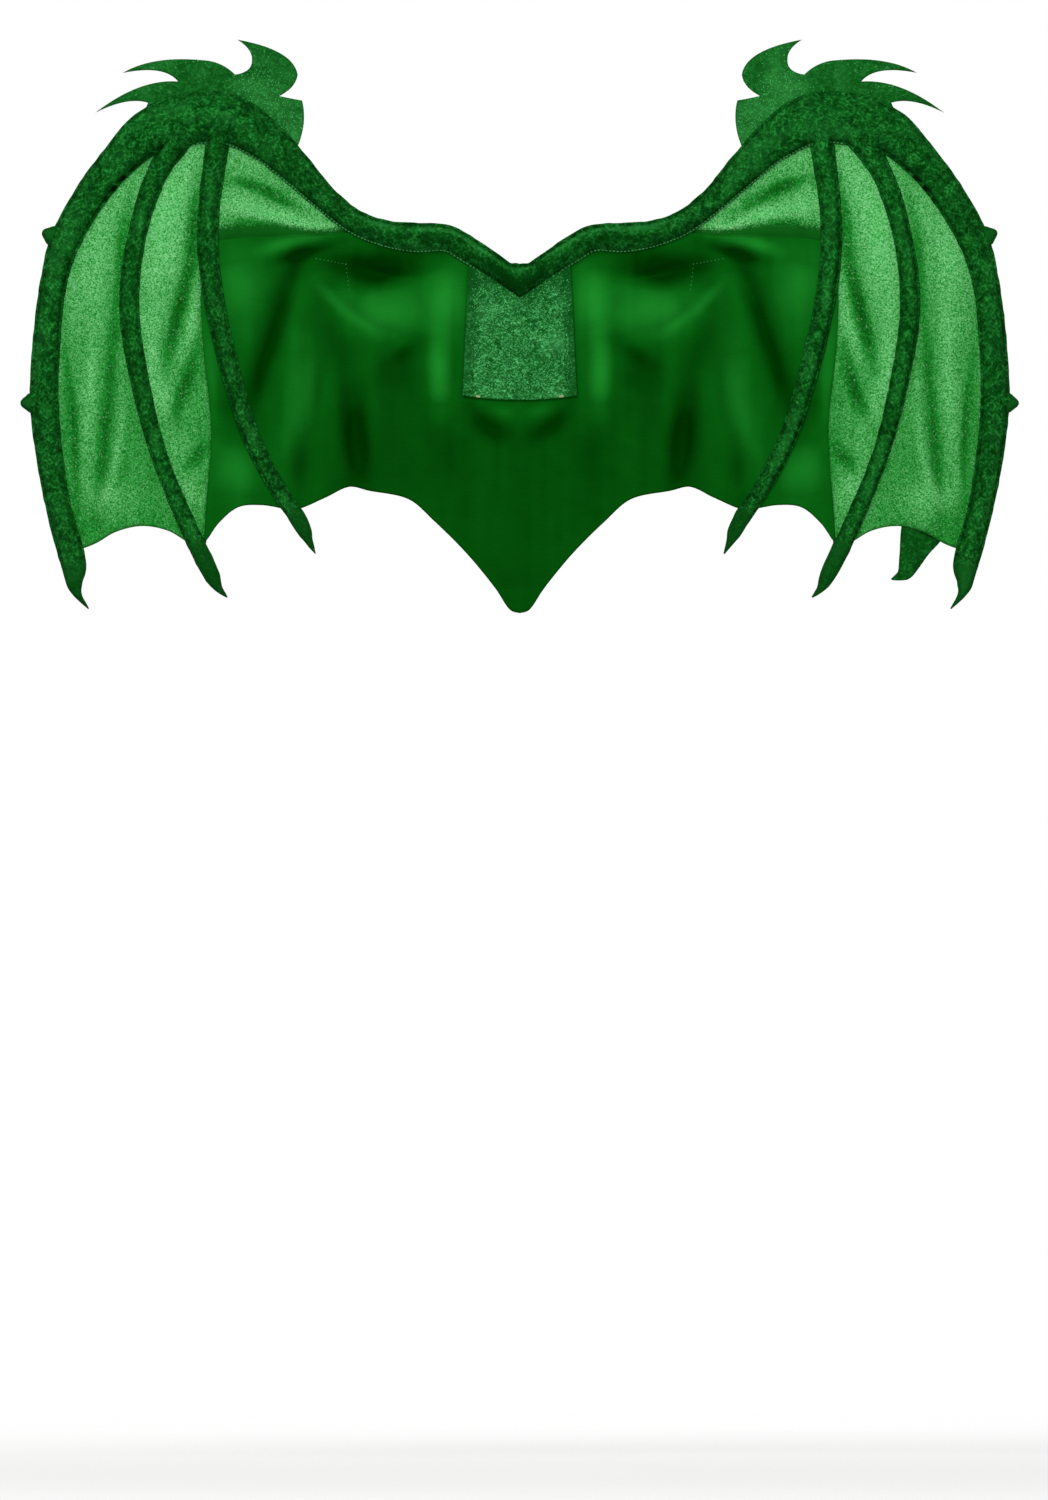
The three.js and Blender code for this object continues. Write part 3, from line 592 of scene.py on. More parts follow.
@dataclass
class Plan:
    """The wings laid out in the picture plane, with the depth of their cloth."""

    half_span: float = 0.441
    wing_height: float = 0.470
    rib_width: float = 0.025
    rib_rise: float = 0.011
    sweep: float = 0.090
    flat_back: float = 0.13
    wrist: float = 0.78
    tip_curl: float = 0.32
    cloth: float = 0.0015
    cloth_reach: float = 0.7
    crest_start: float = 0.78
    fold_width: float = 0.012
    fold_depth: float = 0.008
    seat_gap: float = 0.0005
    seam_gap: float = 0.0009
    finger_root: float = 0.014
    root_lap: float = 0.0002
    panel_half: float = 0.05175
    panel_drop: float = 0.067
    tone_relief: float = 0.35
    stroke_steps: int = 14

    @cached_property
    def patch_depth(self) -> float:
        """Thickness of the fastening patch, which the cloth lies on."""
        low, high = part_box("fastening_patch")
        return high.y - low.y

    def place(self, rows: Sequence[Spot | RibRow | Flame]) -> Array:
        """Table rows as x and z."""
        return pairs([row.out * self.half_span for row in rows], [row.up * self.wing_height for row in rows])

    def line(self, rows: Sequence[Spot], steps: int = 160) -> Array:
        """A smooth line through table rows."""
        return smooth_curve(self.place(rows), np.linspace(0, 1, steps + 1))

    def rib_points(self, rows: Sequence[RibRow]) -> Array:
        """Table rows of a rib as x, width and z."""
        spots = self.place(rows)
        return np.column_stack([spots[:, 0], [row.wide * self.rib_width for row in rows], spots[:, 1]])

    @cached_property
    def arm(self) -> RibLine:
        """The arm, from the middle of the back to the claw at its end.

        Returns:
            Its line.
        """
        points = self.rib_points(ARM)
        points[0, 0] = -self.root_lap
        return RibLine.through(points, 560, mitred=self.rib_width)

    def mark(self, mark: str) -> float:
        """Share of the arm's length at a marked row."""
        row = next(row for row in ARM if row.mark == mark)
        return float(self.arm.inset(self.place([row]))[2][0])

    def finger(self, rows: Sequence[RibRow], mark: str) -> RibLine:
        """A finger, whose root runs on under the arm.

        Args:
            rows: Its table.
            mark: The arm's row that it starts from.

        Returns:
            Its line.
        """
        points = self.rib_points(rows)
        root = self.arm.at(self.mark(mark), -1)
        away = root - points[1, [0, 2]]
        away /= np.linalg.norm(away)
        points[0, [0, 2]] = root + away * self.finger_root
        return RibLine.through(points, 300)

    @cached_property
    def middle_finger(self) -> RibLine:
        """The finger between the two webs."""
        return self.finger(MIDDLE_FINGER, "middle finger")

    @cached_property
    def inner_finger(self) -> RibLine:
        """The finger that crosses the satin."""
        return self.finger(INNER_FINGER, "inner finger")

    def strokes(self, points: Array, strokes: Sequence[Stroke], faded_end: float = 0.25) -> Array:
        """Adds up strokes as soft ridges.

        Args:
            points: X and z on the right wing.
            strokes: The bent lines.
            faded_end: What is left of a stroke at its ends.

        Returns:
            The sum at each point, in shares of a full rise.
        """
        total = np.zeros(points.shape[:-1])
        for row in strokes:
            numbers = (row.from_out, row.from_up, row.via_out, row.via_up, row.to_out, row.to_up)
            spots = self.place(table(Spot, numbers[:2], numbers[2:4], numbers[4:]))
            gap, place = nearest_on_line(points, curve_points(*spots, self.stroke_steps))
            share = np.clip(place / self.stroke_steps, 0.08, 0.92)
            fade = faded_end + (1 - faded_end) * np.sin(math.pi * share)
            total += row.rise * fade * bell(gap, row.wide * self.fold_width)
        return total

    def calm(self, points: Array, near: float, far: float) -> Array:
        """How free the cloth is to fold, from 0 by a rib or the panel to 1 away from them.

        Args:
            points: X and z on the right wing.
            near: Distance from a rib's middle at which folds start, in half widths.
            far: Distance at which they are full, in half widths.

        Returns:
            The share at each point.
        """
        ratios = []
        for rows in (ARM, MIDDLE_FINGER, INNER_FINGER):
            inset, half, _ = RibLine.through(self.rib_points(rows), 60).inset(points)
            ratios.append((half - inset) / half)
        free = smoothstep(np.min(ratios, axis=0), near, far)
        beyond = np.maximum(points[..., 0] - self.panel_half, -self.panel_drop - points[..., 1])
        return free * smoothstep(beyond, self.seam_gap, self.fold_width)

    def depth(self, points: Array, folded: bool = True) -> Array:
        """Y of the cloth's middle surface.

        Args:
            points: X and z, of either wing.
            folded: Whether its folds count.

        Returns:
            The depth at each point.
        """
        right = pairs(np.abs(points[..., 0]), points[..., 1])
        out = right[..., 0] / self.half_span
        curl = 1 - self.tip_curl * smoothstep(out, self.wrist, 1.1)
        swept = self.sweep * smoothstep(out, self.flat_back, self.wrist) * curl
        flat = self.patch_depth + self.seat_gap + self.cloth / 2 + swept
        if not folded:
            return -flat
        main = self.strokes(right, FOLDS) * self.calm(right, 1.7, 3.2)
        small = self.strokes(right, WEB_PAINTED_SHADING + SATIN_PAINTED_SHADING, 0.1) * self.tone_relief
        places = xyz(points[..., 0], 0, points[..., 1])
        soft = 0.16 * bumps(places, 0.034, 5) + 0.07 * bumps(places, 0.014, 6)
        return -(flat + self.fold_depth * (main + (small + soft) * self.calm(right, 1.15, 2.1)))

    def seat(self, points: Array) -> Array:
        """Y at which a padded piece lies on the cloth."""
        return self.depth(points, folded=False) - self.cloth / 2 - self.seat_gap


class Tree:
    """Short calls that lay out a node tree."""

    def __init__(self, tree: NodeTree) -> None:
        """Takes the tree to build in."""
        self.tree = tree

    def fill(self, node: Node, inputs: dict[str | int, object]) -> None:
        """Links or sets inputs of a node.

        Args:
            node: The node.
            inputs: Values or output sockets, by the inputs' names or numbers.
        """
        for key, value in inputs.items():
            shown = [socket for socket in node.inputs if socket.name == key and socket.enabled]
            socket = shown[0] if shown else node.inputs[key]
            if isinstance(value, Socket):
                self.tree.links.new(value, socket)
            else:
                socket.default_value = value

    def add(self, kind: str, inputs: dict[str | int, object] | None = None, **props: object) -> Node:
        """Adds a node.

        Args:
            kind: Its type's name.
            inputs: Values or output sockets for its inputs.
            **props: Its own settings.

        Returns:
            The node.
        """
        node = self.tree.nodes.new(kind)
        for name, value in props.items():
            setattr(node, name, value)
        self.fill(node, inputs or {})
        return node

    def out(self, kind: str, inputs: dict[str | int, object], **props: object) -> Socket:
        """Adds a node and gives its first output that is in use."""
        return next(socket for socket in self.add(kind, inputs, **props).outputs if socket.enabled)

    def math(self, operation: str, *values: object) -> Socket:
        """The result of a Math node."""
        return self.out("ShaderNodeMath", dict(enumerate(values)), operation=operation)

    def remap(
        self, value: object, low: float, high: float, to_low: float = 0.0, to_high: float = 1.0
    ) -> Socket:
        """A value stretched from one range to another and clamped."""
        inputs = {"Value": value, "From Min": low, "From Max": high, "To Min": to_low, "To Max": to_high}
        return self.out("ShaderNodeMapRange", inputs)

    def blend(self, share: object, first: object, second: object) -> Socket:
        """The colour between two colours."""
        return self.out("ShaderNodeMix", {"Factor": share, "A": first, "B": second}, data_type="RGBA")

    def noise(
        self, place: object, scale: object, detail: float, rough: float = 0.5, twist: float = 0.0
    ) -> Socket:
        """Soft noise from 0 to 1."""
        inputs = {"Vector": place, "Scale": scale, "Detail": detail, "Roughness": rough, "Distortion": twist}
        return self.out("ShaderNodeTexNoise", inputs)

    def bump(self, height: object, distance: float, strength: float = 1.0) -> Socket:
        """The normal of a small relief."""
        return self.out("ShaderNodeBump", {"Height": height, "Distance": distance, "Strength": strength})

    def attribute(self, name: str) -> Socket:
        """A number that the mesh holds at each point."""
        return self.add("ShaderNodeAttribute", attribute_name=name).outputs["Fac"]

    @cached_property
    def place(self) -> Socket:
        """Object coordinates."""
        return self.add("ShaderNodeTexCoord").outputs["Object"]


def colour(red: float, green: float, blue: float) -> Rgba:
    """A colour socket's value."""
    return (red, green, blue, 1.0)


def shader_group(
    name: str, sizes: Sequence[str], lay_out: Callable[[Tree, Sockets], dict[str, Socket]]
) -> NodeTree:
    """Builds a shader node group that puts out numbers.

    Args:
        name: The group's name.
        sizes: Its inputs beside Vector.
        lay_out: Lays its nodes out from its tree and its inputs, and gives its outputs by name.

    Returns:
        The group.
    """
    tree = bpy.data.node_groups.new(name, "ShaderNodeTree")
    tree.interface.new_socket("Vector", in_out="INPUT", socket_type="NodeSocketVector")
    for key in sizes:
        tree.interface.new_socket(key, in_out="INPUT", socket_type="NodeSocketFloat")
    build = Tree(tree)
    made = lay_out(build, build.add("NodeGroupInput").outputs)
    for key in made:
        tree.interface.new_socket(key, in_out="OUTPUT", socket_type="NodeSocketFloat")
    build.add("NodeGroupOutput", made)
    return tree


def crushed_pile(build: Tree, given: Sockets) -> dict[str, Socket]:
    """Pile that lies in crushed patches, with short lighter dashes that lean both ways.

    Args:
        build: The group's tree.
        given: Its Vector, with Patch and Dash in bumps per metre.

    Returns:
        Mottle, Dashes and Height.
    """
    mottle = build.remap(build.noise(given["Vector"], given["Patch"], 3.0, 0.6, 0.8), 0.36, 0.64)
    layers = []
    for lean, offset in ((0.7, 0.0), (-0.6, 3.0)):
        turned = build.out(
            "ShaderNodeMapping",
            {"Vector": given["Vector"], "Location": (offset, 0.0, 0.0), "Rotation": (0.0, 0.0, lean),
             "Scale": (1.9, 1.0, 1.0)},
            vector_type="TEXTURE",
        )
        layers.append(build.remap(build.noise(turned, given["Dash"], 2.0, 0.55, 0.3), 0.51, 0.70))
    both = build.math("MAXIMUM", *layers)
    dashes = build.math("MULTIPLY", both, build.math("MULTIPLY_ADD", mottle, 0.8, 0.2))
    return {"Mottle": mottle, "Dashes": dashes, "Height": build.math("MULTIPLY_ADD", both, 0.6, mottle)}


def sparkle(build: Tree, given: Sockets) -> dict[str, Socket]:
    """Tiny flakes, each with a brightness of its own.

    Args:
        build: The group's tree.
        given: Its Vector, with Grains in flakes per metre.

    Returns:
        Grain, Spark and Height.
    """
    flakes = build.add("ShaderNodeTexVoronoi", {"Vector": given["Vector"], "Scale": given["Grains"]})
    parts = build.add("ShaderNodeSeparateColor", {"Color": flakes.outputs["Color"]}).outputs
    cloud = build.noise(given["Vector"], build.math("MULTIPLY", given["Grains"], 0.9), 1.0, 0.6)
    clumped = build.math("MULTIPLY", build.remap(cloud, 0.35, 0.65), 0.45)
    grain = build.math("MULTIPLY_ADD", parts[0], 0.55, clumped)
    return {"Grain": grain, "Spark": build.remap(parts[1], 0.93, 0.97), "Height": parts[2]}


def threads(build: Tree, given: Sockets) -> dict[str, Socket]:
    """Crossing threads of a fine cloth.

    Args:
        build: The group's tree.
        given: Its Vector, with Threads per metre.

    Returns:
        Height, and a soft uneven Slub.
    """
    split = build.add("ShaderNodeSeparateXYZ", {"Vector": given["Vector"]}).outputs
    turn = build.math("MULTIPLY", given["Threads"], 2 * math.pi)
    waves = [build.math("SINE", build.math("MULTIPLY", split[axis], turn)) for axis in ("X", "Z")]
    height = build.math("MULTIPLY_ADD", build.math("MULTIPLY", *waves), 0.5, 0.5)
    stretched = build.out("ShaderNodeMapping", {"Vector": given["Vector"], "Scale": (0.12, 0.12, 1.0)})
    return {"Height": height, "Slub": build.remap(build.noise(stretched, 700.0, 2.0), 0.35, 0.65)}


@dataclass(frozen=True)
class Groups:
    """The shader groups that the finishes share."""

    crushed_pile: NodeTree
    sparkle: NodeTree
    threads: NodeTree

    @classmethod
    def build(cls) -> Groups:
        """Builds each group once."""
        return cls(
            shader_group("crushed_pile", ("Patch", "Dash"), crushed_pile),
            shader_group("sparkle", ("Grains",), sparkle),
            shader_group("threads", ("Threads",), threads),
        )


@dataclass(frozen=True)
class Colours:
    """A finish's colours, from its shade to its lit parts."""

    deep: Rgba
    middle: Rgba
    lit: Rgba

    def ramp(self, build: Tree, tone: Socket) -> Socket:
        """The colour for a lightness from 0 to 1."""
        lower = build.blend(build.remap(tone, 0.0, 0.5), self.deep, self.middle)
        return build.blend(build.remap(tone, 0.5, 1.0), lower, self.lit)


def emptied(owner: Material | bpy.types.World) -> Tree:
    """Empties the node tree of a material or of the surroundings.

    Args:
        owner: What has the tree.

    Returns:
        Short calls on that tree.
    """
    owner.use_nodes = True
    owner.node_tree.nodes.clear()
    return Tree(owner.node_tree)


@dataclass(frozen=True)
class Finish:
    """A finish of the wings. Each kind lays out a surface of its own."""

    name: str

    def surface(self, build: Tree, groups: Groups) -> Socket:
        """Lays out the shader."""
        raise NotImplementedError

    def material(self, groups: Groups) -> Material:
        """Builds the finish.

        Args:
            groups: The shared shader groups.

        Returns:
            The material.
        """
        material = bpy.data.materials.new(self.name)
        build = emptied(material)
        build.add("ShaderNodeOutputMaterial", {"Surface": self.surface(build, groups)})
        return material


@dataclass(frozen=True)
class Velvet(Finish):
    """Short crushed pile, smooth on the claws, where its marks also paint highlight and shade. Patch and
    dash are bumps per metre.
    """

    colours: Colours
    smooth: Rgba
    follows_rib: bool = False
    patch: float = 105.0
    dash: float = 460.0
    dashed: float = 1.1
    relief: float = 0.0006
    # The near-black of the painted shadow in the gaps of gathered creases
    gap: Rgba = (0.0006, 0.005, 0.0006, 1.0)

    def surface(self, build: Tree, groups: Groups) -> Socket:
        """Lays out the shader.

        Args:
            build: The material's tree.
            groups: The shared shader groups.

        Returns:
            The shader.
        """
        if self.follows_rib:
            flat = build.add("ShaderNodeAttribute", attribute_name="pile").outputs["Vector"]
        else:
            split = build.add("ShaderNodeSeparateXYZ", {"Vector": build.place}).outputs
            flat = build.out("ShaderNodeCombineXYZ", {"X": split["X"], "Y": split["Z"], "Z": split["Y"]})
        inputs = {"Vector": flat, "Patch": self.patch, "Dash": self.dash}
        pile = build.add("ShaderNodeGroup", inputs, node_tree=groups.crushed_pile).outputs
        deep, lit = self.colours.deep, self.colours.lit
        tone, edge = build.attribute("tone"), build.attribute("edge")
        look = build.blend(pile["Mottle"], deep, self.colours.middle)
        look = build.blend(build.math("MULTIPLY", pile["Dashes"], self.dashed), look, lit)
        look = build.blend(build.math("MULTIPLY", build.attribute("claw"), 0.8), look, self.smooth)
        # Painted light and shade: a high lightness mark turns the pile to its lit colour, a low one to its
        # deep colour
        look = build.blend(build.remap(tone, 0.5, 1.0, 0.0, 0.8), look, lit)
        look = build.blend(build.remap(tone, 0.5, 0.0, 0.0, 0.9), look, deep)
        look = build.blend(build.remap(edge, 0.0, 1.0, 0.0, 0.6), look, deep)
        # Over 1, the edge mark paints shadow in the gaps of gathered creases
        look = build.blend(build.remap(edge, 1.0, 2.0, 0.0, 0.9), look, self.gap)
        return build.out(
            "ShaderNodeBsdfPrincipled",
            {"Base Color": look, "Roughness": 0.9, "Specular IOR Level": 0.02,
             "Specular Tint": colour(0.1, 1.0, 0.2), "Sheen Weight": 0.06, "Sheen Roughness": 0.5,
             "Sheen Tint": colour(0.10, 0.75, 0.16), "Normal": build.bump(pile["Height"], self.relief)},
        )


@dataclass(frozen=True)
class Satin(Finish):
    """Smooth knit whose colour carries painted shade and painted light over its folds, from deep to bright.
    """

    colours: Colours

    def surface(self, build: Tree, groups: Groups) -> Socket:
        """Lays out the shader.

        Args:
            build: The material's tree.
            groups: The shared shader groups.

        Returns:
            The shader.
        """
        inputs = {"Vector": build.place, "Threads": 900.0}
        cloth = build.add("ShaderNodeGroup", inputs, node_tree=groups.threads).outputs
        uneven = build.math("MULTIPLY_ADD", cloth["Slub"], 0.03, -0.015)
        # The lightness mark is painted shade and light over the folds, made a little uneven
        tone = build.math("ADD", build.attribute("tone"), uneven)
        edge = build.math("MULTIPLY", build.attribute("edge"), 0.7)
        hemmed = build.blend(edge, self.colours.ramp(build, tone), self.colours.deep)
        return build.out(
            "ShaderNodeBsdfPrincipled",
            {"Base Color": hemmed, "Roughness": 0.45, "Specular IOR Level": 0.06,
             "Specular Tint": colour(0.02, 1.0, 0.06), "Sheen Weight": 0.03, "Sheen Roughness": 0.4,
             "Sheen Tint": colour(0.02, 0.6, 0.06), "Normal": build.bump(cloth["Height"], 0.00008, 0.5)},
        )


@dataclass(frozen=True)
class Shimmer(Finish):
    """Thin knit full of glitter, with painted light and shade over its folds and painted glints where it is
    lit. Where its grain mark fades it turns to the smooth cloth's colours, with the satin's painted shading.
    """

    colours: Colours
    smooth: Colours
    glint: Rgba
    grains: float = 940.0
    contrast: float = 0.75
    glinting: float = 0.65
    lets_through: float = 0.3
    relief: float = 0.0003

    def surface(self, build: Tree, groups: Groups) -> Socket:
        """Lays out the shader.

        Args:
            build: The material's tree.
            groups: The shared shader groups.

        Returns:
            The shader.
        """
        inputs = {"Vector": build.place, "Grains": self.grains}
        flakes = build.add("ShaderNodeGroup", inputs, node_tree=groups.sparkle).outputs
        tone, grain = build.attribute("tone"), build.attribute("grain")
        offset = build.math("SUBTRACT", flakes["Grain"], 0.5)
        flecked = self.colours.ramp(build, build.math("MULTIPLY_ADD", offset, self.contrast, tone))
        # Painted glints: the brightest grains turn pale where the knit is lit
        bright = build.math("MULTIPLY", build.remap(offset, -0.20, 0.42), build.remap(tone, 0.38, 0.74))
        sparks = build.math("MULTIPLY", flakes["Spark"], 0.3)
        flecked = build.blend(build.math("MULTIPLY_ADD", bright, self.glinting, sparks), flecked, self.glint)
        # The smooth part takes the satin's painted light and shade
        smooth = self.smooth.ramp(build, build.attribute("smooth_tone"))
        ragged = build.math("MULTIPLY_ADD", offset, 0.5, grain)
        look = build.blend(build.remap(ragged, 0.3, 0.9), smooth, flecked)
        edge = build.math("MULTIPLY", build.attribute("edge"), 0.7)
        look = build.blend(edge, look, self.colours.deep)
        shader = build.out(
            "ShaderNodeBsdfPrincipled",
            {"Base Color": look, "Roughness": 0.55, "Specular IOR Level": 0.12,
             "Specular Tint": colour(0.3, 1.0, 0.4),
             "Normal": build.bump(flakes["Height"], self.relief, 0.6)},
        )
        behind = build.out("ShaderNodeBsdfTranslucent", {"Color": look})
        share = build.math("MULTIPLY", grain, self.lets_through)
        return build.out("ShaderNodeMixShader", {0: share, 1: shader, 2: behind})


@dataclass(frozen=True)
class Woven(Finish):
    """Sewing thread, foil or tape. Threads are counted in a metre, and shade darkens between them."""

    dye: Rgba
    threads: float = 2400.0
    shade: float = 0.6
    rough: float = 0.6
    gloss: float = 0.05
    relief: float = 0.00005

    def surface(self, build: Tree, groups: Groups) -> Socket:
        """Lays out the shader.

        Args:
            build: The material's tree.
            groups: The shared shader groups.

        Returns:
            The shader.
        """
        inputs = {"Vector": build.place, "Threads": self.threads}
        cloth = build.add("ShaderNodeGroup", inputs, node_tree=groups.threads).outputs
        shaded = colour(*(self.shade * part for part in self.dye[:3]))
        return build.out(
            "ShaderNodeBsdfPrincipled",
            {"Base Color": build.blend(cloth["Slub"], shaded, self.dye), "Roughness": self.rough,
             "Specular IOR Level": self.gloss, "Normal": build.bump(cloth["Height"], self.relief)},
        )


RIB_COLOURS = Colours(
    deep=colour(0.0008, 0.033, 0.0022),
    middle=colour(0.0034, 0.098, 0.0072),
    lit=colour(0.026, 0.285, 0.048),
)
SATIN_COLOURS = Colours(
    deep=colour(0.0001, 0.030, 0.0001),
    middle=colour(0.0024, 0.107, 0.0052),
    lit=colour(0.0105, 0.235, 0.020),
)
CLAW_GREEN = colour(0.0030, 0.070, 0.0062)
VELVET = Velvet("velvet", RIB_COLOURS, CLAW_GREEN, follows_rib=True)
FLAT_VELVET = Velvet("flat_velvet", RIB_COLOURS, CLAW_GREEN)
CREST_VELVET = Velvet(
    "crest_velvet",
    Colours(colour(0.0022, 0.066, 0.0045), colour(0.0062, 0.128, 0.0125), colour(0.045, 0.370, 0.072)),
    smooth=colour(0.0055, 0.112, 0.0110), patch=150.0, dash=560.0, dashed=0.9,
)
PANEL_VELVET = Velvet(
    "panel_velvet",
    Colours(colour(0.0030, 0.080, 0.0080), colour(0.0090, 0.165, 0.0220), colour(0.120, 0.600, 0.190)),
    smooth=colour(0.0100, 0.150, 0.022), patch=170.0, dash=760.0, dashed=1.2,
)
SATIN = Satin("satin", SATIN_COLOURS)
SHIMMER = Shimmer(
    "shimmer",
    Colours(colour(0.002, 0.110, 0.004), colour(0.022, 0.370, 0.040), colour(0.090, 0.640, 0.130)),
    smooth=SATIN_COLOURS, glint=colour(0.450, 0.900, 0.490),
)
FOIL = Woven("glitter_foil", colour(0.110, 0.620, 0.170))
DARK_THREAD = Woven("dark_thread", colour(0.0028, 0.052, 0.006))
PANEL_THREAD = Woven("panel_thread", colour(0.007, 0.120, 0.016))
PALE_THREAD = Woven("pale_thread", colour(0.095, 0.400, 0.135))
CREAM_THREAD = Woven("cream_thread", colour(0.560, 0.600, 0.330))
HOOK_WIRE = Woven("hook_wire", colour(0.02, 0.02, 0.02))
HOOK_TAPE = Woven("hook_tape", colour(0.006, 0.006, 0.006), 620.0, 2.4, 0.7, 0.35, 0.0002)


class Wardrobe:
    """Makes each finish's material once."""

    def __init__(self) -> None:
        """Builds the shared groups."""
        self.groups = Groups.build()
        self.made: dict[str, Material] = {}

    def material(self, finish: Finish) -> Material:
        """Finds a finish's material, or makes it.

        Args:
            finish: The finish.

        Returns:
            Its material.
        """
        if finish.name not in self.made:
            self.made[finish.name] = finish.material(self.groups)
        return self.made[finish.name]


def mesh_object(
    name: str,
    vertices: Array,
    faces: Array | list[list[int]],
    material: Material,
    marks: dict[str, Array] | None = None,
) -> Piece:
    """Makes a smooth mesh object.

    Args:
        name: Its name.
        vertices: Rows of x, y and z.
        faces: Corner numbers of each face, outward.
        material: Its only material.
        marks: Numbers or vectors at each point, by name. A cloth's back repeats its front's.

    Returns:
        The object, in the scene.
    """
    mesh = bpy.data.meshes.new(name)
    corners = faces if isinstance(faces, list) else faces.tolist()
    mesh.from_pydata(vertices.tolist(), [], corners)
    mesh.validate()
    for key, values in (marks or {}).items():
        kind, field = ("FLOAT", "value") if values.ndim == 1 else ("FLOAT_VECTOR", "vector")
        values = np.resize(values, (len(vertices), *values.shape[1:])).astype(np.float32)
        mesh.attributes.new(key, kind, "POINT").data.foreach_set(field, values.ravel())
    mesh.materials.append(material)
    mesh.shade_smooth()
    mesh.update()
    return in_scene(name, mesh)


def in_scene(name: str, content: bpy.types.ID) -> Piece:
    """Puts a mesh, a lamp or a camera in the scene.

    Args:
        name: The object's name.
        content: What it holds.

    Returns:
        The object.
    """
    made = bpy.data.objects.new(name, content)
    bpy.context.scene.collection.objects.link(made)
    return made


def turned_outward(vertices: Array, faces: Array) -> Array:
    """Turns every face round if the closed mesh is inside out.

    Args:
        vertices: Rows of x, y and z.
        faces: Corner numbers of each face.

    Returns:
        The faces, turned outward.
    """
    a, b, c = (vertices[faces[:, k]] for k in range(3))
    volume = (a * np.cross(b, c)).sum()
    if faces.shape[1] == 4:
        d = vertices[faces[:, 3]]
        volume += (a * np.cross(c, d)).sum()
    return faces if volume > 0 else faces[:, ::-1]


def wall(middle: Array, thickness: Array) -> tuple[Array, Array]:
    """Thickens a grid of points to a closed wall.

    Args:
        middle: Middle surface, rows by columns by x, y and z.
        thickness: The wall at each point.

    Returns:
        The vertices, viewer's side first, and the faces.
    """
    rows, columns = middle.shape[:2]
    normal = np.cross(np.gradient(middle, axis=1), np.gradient(middle, axis=0))
    normal /= np.linalg.norm(normal, axis=-1)[..., None] + 1e-12
    normal *= -np.sign(normal[..., 1:2])
    offset = normal * thickness[..., None] / 2
    vertices = np.concatenate([(middle + offset).reshape(-1, 3), (middle - offset).reshape(-1, 3)])
    index = np.arange(rows * columns).reshape(rows, columns)
    a, b, c, d = index[:-1, :-1], index[:-1, 1:], index[1:, 1:], index[1:, :-1]
    front = np.stack([a, b, c, d], axis=-1).reshape(-1, 4)
    back = front[:, ::-1] + rows * columns
    rim = np.concatenate([index[0, :-1], index[:-1, -1], index[-1, :0:-1], index[:0:-1, 0]])
    after = np.roll(rim, -1)
    sides = np.stack([after, rim, rim + rows * columns, after + rows * columns], axis=-1)
    faces = np.concatenate([front, back, sides])
    return vertices, turned_outward(vertices, faces)


@dataclass(frozen=True)
class Cut:
    """The size that a sheet was cut to."""

    width: float
    length: float
    area: float

    @classmethod
    def of_grid(cls, middle: Array) -> Cut:
        """Measures a sheet on its middle surface.

        Args:
            middle: Rows by columns by x, y and z.

        Returns:
            Its longest row, its longest column and its area.
        """
        across = np.linalg.norm(np.diff(middle, axis=1), axis=-1)
        along = np.linalg.norm(np.diff(middle, axis=0), axis=-1)
        first = middle[1:, 1:] - middle[:-1, :-1]
        second = middle[1:, :-1] - middle[:-1, 1:]
        area = np.linalg.norm(np.cross(first, second), axis=-1).sum() / 2
        return cls(float(across.sum(1).max()), float(along.sum(0).max()), float(area))

    def declare(
        self, piece: Piece, held: str, rests_on: str, with_pieces: Sequence[Piece] = ()
    ) -> None:
        """Logs the size that a piece was cut to.

        Args:
            piece: The cloth.
            held: How it is held; not used.
            rests_on: The nodes that it lies on or hangs from, with spaces between them; not used.
            with_pieces: What is sewn on it; not used.
        """
        flat, area = (self.width, self.length), min(self.area, self.width * self.length)
        log.info("%s: cut %.0f x %.0f mm, %.1f cm2", piece.name, flat[0] * 1e3, flat[1] * 1e3, area * 1e4)


def patch(
    sides: tuple[Line, Line],
    bottom: Line,
    top: Line,
    low: tuple[float, float],
    high: tuple[float, float],
    steps: tuple[int, int],
) -> Array:
    """Fills the patch between two upright edges and two level ones.

    Args:
        sides: X of the upright edges for z.
        bottom: Z of the lower edge for x.
        top: Z of the upper edge for x.
        low: Z of the lower corners.
        high: Z of the upper corners.
        steps: How many steps it has across and up.

    Returns:
        Rows by columns by x and z.
    """
    u, v = (np.linspace(0, 1, count + 1) for count in steps)
    heights = [mix(low[k], high[k], v) for k in range(2)]
    left, right = (pairs(side(z), z)[:, None] for side, z in zip(sides, heights))
    below, above = (mix(left[end, 0, 0], right[end, 0, 0], u) for end in (0, -1))
    below, above = pairs(below, bottom(below))[None], pairs(above, top(above))[None]
    u, v = u[None, :, None], v[:, None, None]
    corners = mix(mix(below[:, :1], below[:, -1:], u), mix(above[:, :1], above[:, -1:], u), v)
    return mix(below, above, v) + mix(left, right, u) - corners


def cloth(
    name: str, spots: Array, depth: Array, thickness: Array, material: Material, marks: dict[str, Array]
) -> tuple[Piece, Cut]:
    """Makes a wall of cloth.

    Args:
        name: The piece's name.
        spots: Rows by columns by x and z.
        depth: Y of its middle surface at each of them.
        thickness: The wall at each of them.
        material: Its finish.
        marks: Numbers at each of them, by name.

    Returns:
        The piece, and the size that it was cut to.
    """
    middle = xyz(spots[..., 0], depth, spots[..., 1])
    vertices, faces = wall(middle, thickness)
    flat = {key: values.ravel() for key, values in marks.items()}
    return mesh_object(name, vertices, faces, material, flat), Cut.of_grid(middle)


